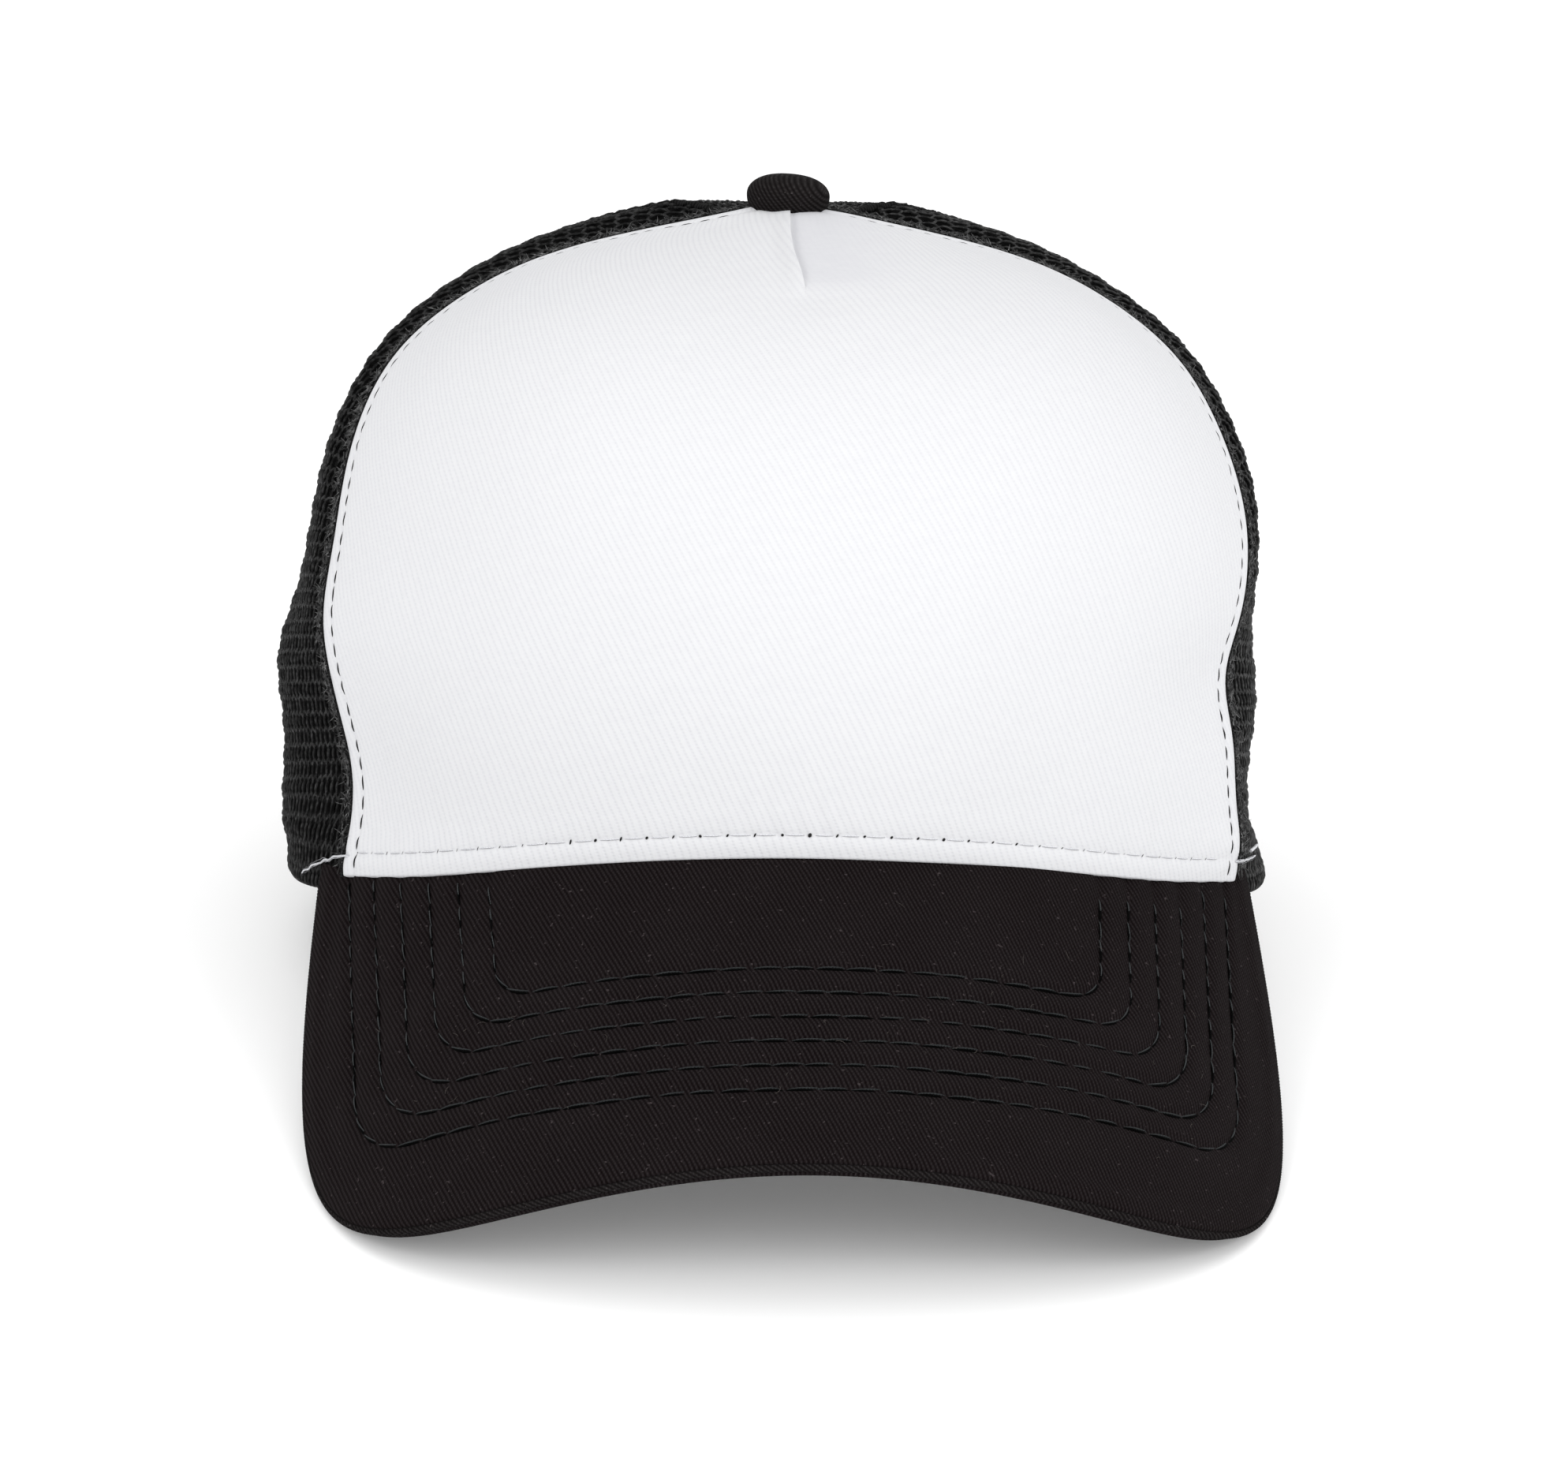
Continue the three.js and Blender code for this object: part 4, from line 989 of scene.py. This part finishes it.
def folded_tape(inner, outer, face):
    """A tape folded over an edge, in [aside, depth]: its fold, a leg on each face of the net,
    and the depth of its outer face."""
    return rounded([(0, 2.95), (inner, 2.95), (inner, 2.35), (0.7, 2.35), (0.7, face + 0.6),
                    (outer, face + 0.6), (outer, face), (0, face)], 0.9, steps=4, spacing=0.7)


def folded_relief(width):
    def relief(s, aside, depth):
        puff = 0.22 * bump(aside, width * 0.42, width * 0.22) - 0.2 * bump(aside, width - 1.5, 0.4)
        puff += 0.05 * np.sin(s * 1.9) * bump(aside, width - 1.5, 1.6)
        return np.where(depth < 0.6, puff, np.where(depth > 2.6, -puff, 0.0))
    return relief


for name, side in SIDES.items():
    near, far = FRONT_SEAM_AZIMUTH + 1.2 / HALF_WIDTH, math.pi - ARCH_HALF_ANGLE
    first, last = (near, far) if side > 0 else (-far, -near)
    turned = np.linspace(first, last, 260)
    track = Track(turned, -rise_at(turned, hem_drop(turned)))
    made = ribbon("hem_tape_" + name, track, folded_tape(HEM_TAPE_WIDTH, 1.5, 1.3), TAPE, step=0.8,
                  relief=folded_relief(HEM_TAPE_WIDTH), slot="binding_tape")
    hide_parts("hem_binding_" + name)
    rows = [(track.stand(6.5, depth=2.9), 1.5, track.length - 1)]
    fringe_pieces[side] += [made, stitches("hem_tape_stitches_" + name, rows, BLACK_THREAD,
                                           **HEM_TAPE_STITCH, rise=-0.26, sink=0.15)]

arch_turns = np.linspace(0.06, math.pi - 0.06, 400)
arch_track = Track(*arch_place(arch_turns, 0.0))
arch_tape = ribbon("back_opening_tape", arch_track, folded_tape(TRIM_WIDTH, TRIM_WIDTH, 0.25), TAPE,
                   step=0.8, relief=folded_relief(TRIM_WIDTH), slot="binding_tape")
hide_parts("back_opening_trim")
back_pieces += [arch_tape] + [
    stitches(name, [(arch_track.stand(6.6, depth=depth), 2, arch_track.length - 2)], BLACK_THREAD,
             **SEAM_STITCH, rise=rise, sink=sink)
    for name, depth, rise, sink in (("back_opening_stitches", 0.3, 0.26, -0.15),
                                    ("back_opening_stitches_inside", 2.9, -0.26, 0.15))
]

band_end = math.pi - ARCH_HALF_ANGLE - 1 / BACK_REACH
band_track = Track(np.linspace(-band_end, band_end, 700), 0.0)
band_outline = rounded([(1.2, 3.1), (1.2, 6.0), (32.2, 5.9), (32.2, 4.7), (3.4, 4.7), (3.0, 3.1)],
                       0.6, steps=3, spacing=1.0)


def band_relief(s, aside, depth):
    puff = 0.45 * bump(aside, 16, 8) - 0.3 * bump(aside, 4.2, 0.5) - 0.3 * bump(aside, 29.5, 0.5)
    puff += 0.12 * np.sin(s * 0.52) * bump(aside, 27, 6) + 0.15 * np.sin(s / 9) * bump(aside, 16, 9)
    return np.where(depth > 5.3, -puff, 0.0)


sweatband = ribbon("sweatband_cloth", band_track, band_outline, BAND_TWILL, step=1.2,
                   relief=band_relief, slot="sweatband_fabric")
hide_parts("sweatband")
band_rows = [(band_track.stand(a, depth=5.75), 2, band_track.length - 2) for a in (4.2, 29.5)]
band_stitches = stitches("sweatband_stitches", band_rows, BLACK_THREAD, **HEM_TAPE_STITCH,
                         rise=-0.25, sink=0.2)

# -------- snap straps

hinge_azimuth = math.pi - ARCH_HALF_ANGLE + HINGE_STANDOFF / BACK_REACH
opening_arc = 2 * (math.pi - hinge_azimuth) * BACK_REACH
strap_length = FIRST_PEG + (opening_arc + (PEGS_ENGAGED - 1) * PEG_PITCH) / 2
stations = strap_length - FIRST_PEG - PEG_PITCH * np.arange(PEG_COUNT)
SEWN_DEPTH, STRAP_MIDDLE = sum(SEWN_STRAP) / 2, STRAP_LIFT + STRAP_HEIGHT / 2
BEVEL, BORDER = 0.2, 7.7  # the plate's bevel, and how far from its middle its border begins


def strap_place(side, distance, height):
    azimuth = side * (hinge_azimuth + distance / BACK_REACH)
    return azimuth, rise_at(azimuth, height)


def strap_depth(layer, distance):
    """The depth of a strap's middle, which steps from its sewn end's to its own."""
    return SEWN_DEPTH + (sum(layer) / 2 - SEWN_DEPTH) * smooth((distance - 1) / 11)


def arc_points(x, y, radius, start, end, steps):
    turn = np.radians(np.linspace(start, end, steps + 1))
    return np.stack([x + radius * np.cos(turn), y + radius * np.sin(turn)], -1)


def strap_plate(name, half, holes):
    """A flat bevelled plate with a round end and round holes, cut up so that it can bend."""
    curve = bpy.data.curves.new(name, "CURVE")
    curve.dimensions, curve.fill_mode = "2D", "BOTH"
    curve.extrude, curve.bevel_depth, curve.offset = 0.5 - BEVEL, BEVEL, -BEVEL
    curve.bevel_resolution = 2
    outline = np.concatenate([[(-SEWN_LENGTH, half), (-SEWN_LENGTH, -half)],
                              arc_points(strap_length - half, 0, half, -90, 90, 32)])
    for ring in [outline] + [arc_points(x, 0, HOLE_RADIUS, 0, 345, 23) for x in holes]:
        spline = curve.splines.new("POLY")
        spline.points.add(len(ring) - 1)
        spline.points.foreach_set("co", np.c_[ring, np.zeros(len(ring)), np.ones(len(ring))].ravel())
        spline.use_cyclic_u = True
    maker = linked(name + "_outline", curve)
    bpy.context.view_layer.update()
    mesh = bpy.data.meshes.new_from_object(maker.evaluated_get(bpy.context.evaluated_depsgraph_get()))
    bpy.data.objects.remove(maker)
    plate = bmesh.new()
    plate.from_mesh(mesh)
    cuts = [((x, 0, 0), (1, 0, 0)) for x in np.arange(-SEWN_LENGTH + 1.5, strap_length - 0.5, 1.5)]
    cuts += [((0, y, 0), (0, 1, 0)) for y in (-8.3, -BORDER, 0, BORDER, 8.3)]
    for point, normal in cuts:
        bmesh.ops.bisect_plane(plate, geom=plate.verts[:] + plate.edges[:] + plate.faces[:],
                               plane_co=point, plane_no=normal)
    bmesh.ops.remove_doubles(plate, verts=plate.verts, dist=0.002)
    plate.to_mesh(mesh)
    plate.free()
    return mesh


def strap(name, node, side, layer, holes):
    """A moulded strap: a bevelled plate with a raised border, bent to the crown's curve."""
    half = STRAP_HEIGHT / 2
    mesh = strap_plate(name, half, holes)
    flat = np.zeros(len(mesh.vertices) * 3)
    mesh.vertices.foreach_get("co", flat)
    x, y, z = flat.reshape(-1, 3).T
    beyond = np.maximum(x - (strap_length - half), 0)
    border = smooth((np.hypot(beyond, y) - BORDER) / 0.6) * smooth((x + 1) / 3)
    z = z * (1 + 0.5 * border)
    azimuth, rise = strap_place(side, x, STRAP_MIDDLE + y)
    points = placed(crown_point(azimuth, rise, strap_depth(layer, x) - z))
    mesh.vertices.foreach_set("co", points.ravel())
    if side > 0:
        mesh.flip_normals()
    mesh.shade_smooth()
    mesh.set_sharp_from_angle(angle=math.radians(35))
    mesh.materials.clear()
    mesh.materials.append(PLASTIC)
    made = linked(name, mesh)
    start, end = (placed(crown_point(*strap_place(side, distance, STRAP_MIDDLE), SEWN_DEPTH))
                  for distance in (-1.0, 4.0))
    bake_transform(made)
    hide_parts(node, node + "_sewn_end")
    return made


strap("strap_with_holes", "hole_strap", 1, HOLE_STRAP, stations)
strap("strap_with_pegs", "peg_strap", -1, PEG_STRAP, [])


def turned_rings(profile, sides, centre, axes):
    """Rings of a turned shape: profile is [radius, height], axes are (x, y, height)."""
    turn = np.linspace(0, 2 * np.pi, sides, endpoint=False)
    r, h = np.asarray(profile, float).T
    x = r[:, None] * np.cos(turn)
    y = r[:, None] * np.sin(turn)
    return centre + x[..., None] * axes[0] + y[..., None] * axes[1] + h[:, None, None] * axes[2]


PEG_PROFILE = [(1.35, -0.3), (1.35, 0.9), (1.45, 1.2), (1.9, 1.45), (2.0, 1.7), (1.85, 2.0),
               (1.4, 2.3), (0.7, 2.42), (0.1, 2.45)]
pegs = []
for distance in stations:
    azimuth, rise = strap_place(-1, distance, STRAP_MIDDLE)
    normal = outward(azimuth, rise)
    level = unit(np.cross([0, 0, 1.0], normal))
    base = crown_point(azimuth, rise, PEG_STRAP[0])
    pegs.append(turned_rings(PEG_PROFILE, 20, base, (level, np.cross(normal, level), normal)))
pegs = np.array(pegs)
tubes("strap_pegs", pegs, PLASTIC, np.zeros((*pegs.shape[:3], 2)), body="peg_strap",
      slot="strap_plastic", sharp=35)

# -------- brim

def brim_point(across, forward, below):
    bend = across / BRIM_RADIUS
    radius = BRIM_RADIUS - below
    sag = BRIM_RADIUS - radius * np.cos(bend)
    front = FRONT_REACH + forward * math.cos(BRIM_SLOPE) - sag * math.sin(BRIM_SLOPE)
    height = BRIM_RISE - forward * math.sin(BRIM_SLOPE) - sag * math.cos(BRIM_SLOPE)
    return np.stack([radius * np.sin(bend), -front, height], -1)


def brim_root(azimuth):
    """Where the crown's hem stands on the brim, as [across, forward]."""
    clear = crown_point(azimuth, 0.0, -GAP)
    bend = np.arcsin(clear[..., 0] / BRIM_RADIUS)
    sag = BRIM_RADIUS * (1 - np.cos(bend))
    forward = (-clear[..., 1] - FRONT_REACH + sag * math.sin(BRIM_SLOPE)) / math.cos(BRIM_SLOPE)
    return np.stack([bend * BRIM_RADIUS, forward], -1)


def bezier(a, b, c, d, t):
    t = np.asarray(t, float)[..., None]
    return (1 - t) ** 3 * a + 3 * (1 - t) ** 2 * t * b + 3 * (1 - t) * t * t * c + t**3 * d


root_corner = brim_root(np.array([BRIM_ROOT_AZIMUTH]))[0]


SIDE_SHARE = 0.3  # of the way from the brim's root to the middle of its front


def brim_edge(share):
    """The brim's right edge from its root to the middle of its front, by share of that way."""
    root, widest = root_corner, np.array([BRIM_HALF_ARC, BRIM_WIDEST])
    climb = (widest[1] - root[1]) / 3
    side = bezier(root, np.array([(root[0] + BRIM_HALF_ARC) / 2, root[1] + climb]),
                  np.array([BRIM_HALF_ARC, BRIM_WIDEST - climb]), widest,
                  np.clip(share / SIDE_SHARE, 0, 1))
    front = bezier(widest, np.array([BRIM_HALF_ARC, BRIM_LENGTH + 3]),
                   np.array([BRIM_HALF_ARC * 0.63, BRIM_LENGTH]), np.array([0, BRIM_LENGTH]),
                   np.clip((share - SIDE_SHARE) / (1 - SIDE_SHARE), 0, 1))
    return np.where((np.asarray(share) < SIDE_SHARE)[..., None], side, front)


def brim_patch(u, v):
    """A place on the brim blended between its root, its front edge and its two sides."""
    root = brim_root((2 * u - 1) * BRIM_ROOT_AZIMUTH)
    sign = np.where(u < 0.5, -1.0, 1.0)[..., None] * np.array([1, 0]) + np.array([0, 1])
    mirror = np.array([-1, 1])
    front = brim_edge(1 - np.abs(2 * u - 1) * (1 - CORNER_SHARE)) * sign
    right = brim_edge(v * CORNER_SHARE)
    foot, shoulder = brim_edge(np.array(0.0)), brim_edge(np.array(CORNER_SHARE))
    u, v = u[..., None], v[..., None]
    edges = root * (1 - v) + front * v + right * mirror * (1 - u) + right * u
    corners = foot * mirror * (1 - u) * (1 - v) + foot * u * (1 - v)
    corners = corners + shoulder * mirror * (1 - u) * v + shoulder * u * v
    return edges - corners


def distance_to(points, line):
    """The distance of flat points from a flat line of points."""
    best = np.full(len(points), 1e9)
    for a, b in zip(line, line[1:]):
        along = b - a
        t = np.clip(((points - a) @ along) / (along @ along), 0, 1)
        best = np.minimum(best, np.linalg.norm(points - a - t[:, None] * along, axis=1))
    return best


def stitch_row(k):
    """The k-th row of brim stitching: down a side, round a corner and across the front."""
    middle = np.array([0, 26.7 + 5.85 * k])
    corner = np.array([47.5 + 5.0 * k, 22.7 + 4.9 * k])
    leg = np.array([55.8 + 6.1 * k, corner[1] - 11 - 2.2 * k])
    root = np.array([57.2 + 6.4 * k, -10.5 - 4.2 * k])
    fall = 2 * (middle[1] - corner[1]) / corner[0]
    t = np.linspace(0, 1, 26)[:, None]
    x = t * corner[0]
    front = np.hstack([x, middle[1] - (middle[1] - corner[1]) * (x / corner[0]) ** 2])
    reach = 0.6 * (leg[0] - corner[0])
    turn = bezier(corner, corner + reach * np.array([1, -fall]),
                  leg + np.array([0.2, 0.55 * (corner[1] - leg[1])]), leg, t[:, 0])
    side = leg + (root - leg) * t
    half = np.concatenate([front, turn[1:], side[1:]])
    return np.concatenate([half[:0:-1] * [-1, 1], half])


brim_rows = [stitch_row(k) for k in range(BRIM_ROWS)]
shares = np.linspace(0, 1, 160)
right_edge = brim_edge(shares)
brim_outline = np.concatenate([right_edge, right_edge[-2::-1] * [-1, 1]])

u, v = np.meshgrid(crowded(261, (0, 1), 0.05, 3.0), crowded(131, (0.03, 1), 0.05, 2.5))
brim_flat = brim_patch(u, v)
places = brim_flat.reshape(-1, 2)
brim_rim = distance_to(places, brim_outline).reshape(u.shape)
row_distance = np.min([distance_to(places, row) for row in brim_rows], axis=0).reshape(u.shape)
# The cloth runs on under the crown's hem, a little lower there.
under_hem = smooth((0.03 - v) / 0.03)
brim_flat = brim_flat - np.stack([0 * v, 2.4 * under_hem], -1)


def brim_lift(flat, rim, rows):
    """The stitched layers swell between their rows and are drawn in at each of them."""
    inside = smooth((rim - 3) / 5)
    lift = 0.24 * smooth(rows / 2.6) - 0.38 * bump(rows, 0, 0.65)
    lift = lift + 0.10 * np.sin(flat[..., 0] / 5.2 + flat[..., 1] / 9) * inside
    lift = lift + 0.22 * bump(rim, 3.6, 1.1) - 0.12 * bump(rim, 6.0, 1.2)
    return lift


def brim_cover(name, node, face, inside, weave):
    """A cover of the brim between two depths below its upper face."""
    points = [brim_point(brim_flat[..., 0], brim_flat[..., 1], depth) for depth in (face, inside)]
    made = slab(name, *points, BRIM_TWILL, weave, slot="brim_twill")
    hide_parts(node)
    return made


HALF_THICK = BRIM_THICKNESS / 2
edge = rolled(brim_rim, HALF_THICK - 0.05)
lift = brim_lift(brim_flat, brim_rim, row_distance)
seam = 0.32 * bump(brim_rim, 0.55, 0.4)
top_depth = 0.35 * under_hem - edge - lift - seam
under_depth = BRIM_THICKNESS + edge + lift * 0.8
core_side = 0.85 + (HALF_THICK - 0.9) * smooth((2.1 - brim_rim) / 1.0)
brim_top = brim_cover("brim_top_twill", "brim_top_cover", top_depth,
                      np.maximum(core_side, top_depth + 0.05), brim_flat)
brim_under = brim_cover("brim_under_twill", "brim_under_cover", under_depth,
                        np.minimum(BRIM_THICKNESS - core_side, under_depth - 0.05),
                        brim_flat * [1, -1])


def brim_stand(line, below, sign):
    """A way to place thread along a flat line on the brim's upper or lower face."""
    run = lengths(line)

    def place(s):
        x, y = (np.interp(s, run, line[:, k]) for k in (0, 1))
        points = brim_point(x, y, below)
        return points, unit(brim_point(x, y, below - 1.0) - points) * sign
    return place, run[-1]


def stitched_rows(below, sign, forward):
    rows = []
    for row in brim_rows:
        place, length = brim_stand(row + [0, forward], below, sign)
        rows.append((place, 3.0, length - 3.0))
    return rows


BRIM_STITCH = dict(pitch=5.6, share=0.95, radius=0.15, rise=0.12, sink=-0.26, slant=0.25)
TOP_FACE, UNDER_FACE = 0.20, 3.62  # the depths at which the two covers are stitched
brim_topstitches = stitches("brim_topstitches", stitched_rows(TOP_FACE, 1, 0), BRIM_THREAD,
                            **BRIM_STITCH)
brim_understitches = stitches("brim_understitches", stitched_rows(UNDER_FACE, -1, 0), BRIM_THREAD,
                              **BRIM_STITCH)


def lint_on_brim(count):
    """Short fibres that cling to the brim's upper cloth."""
    t = np.linspace(0, 1, 8)
    across, forward = rng.uniform(-80, 80, count), rng.uniform(8, 56, count)
    turn, curl = rng.uniform(0, 2 * np.pi, count), rng.uniform(-2.2, 2.2, count)
    heading = turn[:, None] + curl[:, None] * t
    step = rng.uniform(0.7, 2.6, count)[:, None] / 7
    x = across[:, None] + np.cumsum(np.cos(heading) * step, axis=1)
    y = forward[:, None] + np.cumsum(np.sin(heading) * step, axis=1)
    centres = brim_point(x, y, -0.22)
    normals = unit(brim_point(x, y, -1.0) - centres)
    rings, weave = thread_rings(centres, normals, 0.05 * (1.1 - (2 * t - 1) ** 4), sides=5)
    return tubes("brim_lint", rings, LINT, weave)


def edge_roll():
    """The covers' seam, turned under and rolled round the brim's edge."""
    place, length = brim_stand(brim_outline * [0.999, 1] - [0, 0.05], 0.95, 1)
    run = np.arange(1, length - 1, 0.17)
    points, normals = place(run)
    size = 0.72 + 0.06 * np.sin(run * 8.6 + np.sin(run * 0.7))
    rings, weave = thread_rings(points[None], normals[None], size[None], sides=10)
    return tubes("brim_edge_roll", rings, BUTTON_TWILL, weave)


brim_lint = lint_on_brim(70)
# In front of each row a near-black thread is laid along the crease where the drawn cloth folds, as a
# painted shadow.
brim_painted_crease_shades = stitches("brim_painted_crease_shades", stitched_rows(TOP_FACE, 1, 0.40), PAINTED_CREASE_SHADE, pitch=5.6,
                        share=0.96, radius=0.26, rise=0.0, sink=-0.34)
on_brim = {brim_top: [brim_topstitches, edge_roll(), brim_painted_crease_shades, brim_lint],
           brim_under: [brim_understitches]}

# -------- button

button_base = float(crown_surface(0.0, PANEL_TOP)[2]) + GAP
lean = unit(np.array([0.05, 0.02, 1.0]))
button_axes = (unit(np.cross([0, 1.0, 0], lean)), unit(np.cross(lean, [1.0, 0, 0])), lean)
WIDEST_LEVEL, BELLY = 1.7, 3.7  # where the button is widest, and how far it bulges below that
swell = np.radians(np.linspace(-62, 90, 44))
dome = swell > 0
button_profile = np.stack([
    np.maximum(BUTTON_RADIUS * np.cos(swell) ** np.where(dome, 0.82, 0.3), 0.05),
    WIDEST_LEVEL + np.where(dome, BUTTON_HEIGHT - WIDEST_LEVEL, BELLY) * np.sin(swell)], -1)
button_foot = np.array([0.0, 0.0, button_base])
button_rings = turned_rings(button_profile, 96, button_foot, button_axes)
button_flat = button_rings - button_foot
squash = 1 + 0.012 * np.sin(3 * np.arctan2(button_flat[..., 1], button_flat[..., 0]) + 1)
button_rings[..., :2] *= squash[..., None]
button_weave = np.stack([button_flat[..., 0], button_flat[..., 2] - 0.3 * button_flat[..., 1]], -1)
button = tubes("button_cloth", button_rings[None], BUTTON_TWILL, button_weave[None],
               slot="brim_twill")
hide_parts("button_cover")

# -------- thread ends

def thread_end(name, stops, radius, strands):
    """A loose end of thread over the cloth, through stops of (azimuth in degrees, height above
    the hem, height above the cloth), with thin strands that have come loose from it."""
    stops = np.array(stops, float)
    t = np.linspace(0, 1, 60)
    path = np.stack([np.interp(t, np.linspace(0, 1, len(stops)), stops[:, k]) for k in range(3)])
    for values in path:
        values[1:-1] = np.convolve(np.pad(values, 3, "edge"), np.ones(7) / 7, "valid")[1:-1]
    size = [radius * (1 - 0.25 * t**6)]
    crinkle = np.sin(t * rng.uniform(24, 30)) + 0.6 * np.sin(t * rng.uniform(38, 46) + 1)
    path = path + crinkle * smooth(t / 0.2) * np.array([[0.04], [0.11], [0.08]])
    paths = [path]
    for _ in range(strands):
        spread = rng.uniform(-1, 1, 3) * [0.3, 0.5, 0.3]
        wave = np.sin(t * rng.uniform(5, 14) + rng.uniform(0, 6)) * 0.16
        reach = smooth((t - rng.uniform(-0.2, 0.5)) * 2.2)
        paths.append(path + spread[:, None] * reach + wave * reach * np.array([[0.3], [1], [0.6]]))
        size.append(0.055 * (1.1 - t))
    azimuth, height, clear = np.stack(paths, 1)
    azimuth = np.radians(azimuth)
    rise = rise_at(azimuth, height)
    centres = crown_point(azimuth, rise, -np.maximum(clear, 0.2))
    rings, weave = thread_rings(centres, outward(azimuth, rise), np.array(size))
    return tubes(name, rings, WHITE_THREAD, weave)


loose_ends = {
    -1: [thread_end("loose_thread_left", [(-59.6, 3.9, 0.3), (-61.2, 3.9, 0.9), (-63.4, 3.2, 1.2),
                                          (-65.4, 2.5, 1.3), (-67.6, 1.7, 1.5), (-69.5, 0.3, 1.9)],
                    0.19, 7)],
    1: [thread_end("loose_thread_right", [(61.4, 4.0, 0.3), (62.8, 4.2, 0.9), (64.6, 4.5, 1.0),
                                          (66.6, 4.9, 1.2)], 0.2, 6),
        thread_end("loose_thread_right_end", [(65.6, 5.9, 0.8), (66.8, 6.4, 1.0),
                                              (68.0, 6.8, 1.1)], 0.3, 8)],
}

# -------- carried-over CAD nodes

for node, look in (("brim_core", BOARD), ("button_shell", STEEL), ("button_rivet", STEEL)):
    kept = frame["nodes"][node]
    kept.data.materials.clear()
    kept.data.materials.append(look)

# -------- each side's side and rear nets, looked up and left unused

for name, side in SIDES.items():
    ground, yarn = nets["side_mesh_" + name]
    ground, yarn = nets["rear_mesh_" + name]

# -------- stage, light and camera

floor_mesh = bpy.data.meshes.new("floor")
floor_mesh.from_pydata([(-4, -4, 0), (4, -4, 0), (4, 6, 0), (-4, 6, 0)], [], [(0, 1, 2, 3)])
floor = linked("floor", floor_mesh)
ground = Finish("pale_floor", 0.9, 0.1)
ground.colours(ground.noise(400.0), (0.3, (0.94, 0.94, 0.94)), (0.7, (0.95, 0.95, 0.95)))
ground.shader.inputs["Emission Color"].default_value = (1, 1, 1, 1)
ground.shader.inputs["Emission Strength"].default_value = 0.09
floor_mesh.materials.append(ground.material)

world = bpy.data.worlds.new("studio")
world.use_nodes = True
world.node_tree.nodes["Background"].inputs["Color"].default_value = (1, 1, 1, 1)
world.node_tree.nodes["Background"].inputs["Strength"].default_value = 0.94
bpy.context.scene.world = world


def softbox(name, place, aim, size, power):
    light = bpy.data.lights.new(name, "AREA")
    light.shape, light.size, light.size_y, light.energy = "RECTANGLE", size[0], size[1], power
    made = linked(name, light)
    made.location = place
    made.rotation_mode = "QUATERNION"
    made.rotation_quaternion = (Vector(aim) - Vector(place)).to_track_quat("-Z", "Y")


softbox("key", (-0.95, -1.0, 0.95), (0, 0, 0.07), (0.9, 0.9), 7.4)
softbox("fill", (1.1, -0.9, 0.85), (0, 0, 0.07), (0.8, 0.8), 8.1)
softbox("front", (0.1, -1.3, 0.2), (0, 0, 0.05), (1.3, 0.3), 2.2)
softbox("overhead", (0, 0.15, 1.5), (0, 0, 0), (1.6, 1.6), 4.3)

scene = bpy.context.scene
scene.view_settings.view_transform = "Standard"
target, distance = np.array([0.98, 0.0, 29.26]), 1298.7
elevation, yaw, roll = (math.radians(a) for a in (11.78, -2.62, 0.933))
back = np.array([math.sin(yaw) * math.cos(elevation), -math.cos(yaw) * math.cos(elevation),
                 math.sin(elevation)])
right = unit(np.cross(-back, [0, 0, 1.0]))
above = np.cross(right, -back)
right, above = (right * math.cos(roll) + above * math.sin(roll),
                above * math.cos(roll) - right * math.sin(roll))
camera_data = bpy.data.cameras.new("camera")
camera_data.sensor_width, camera_data.lens = 36.0, 158.5
camera_data.clip_start, camera_data.clip_end = 0.05, 30
camera = linked("camera", camera_data)
camera.matrix_world = Matrix((crown_axes.T @ np.stack([right, above, back], 1)).tolist()).to_4x4()
camera.location = placed(target + back * distance)
scene.camera = camera
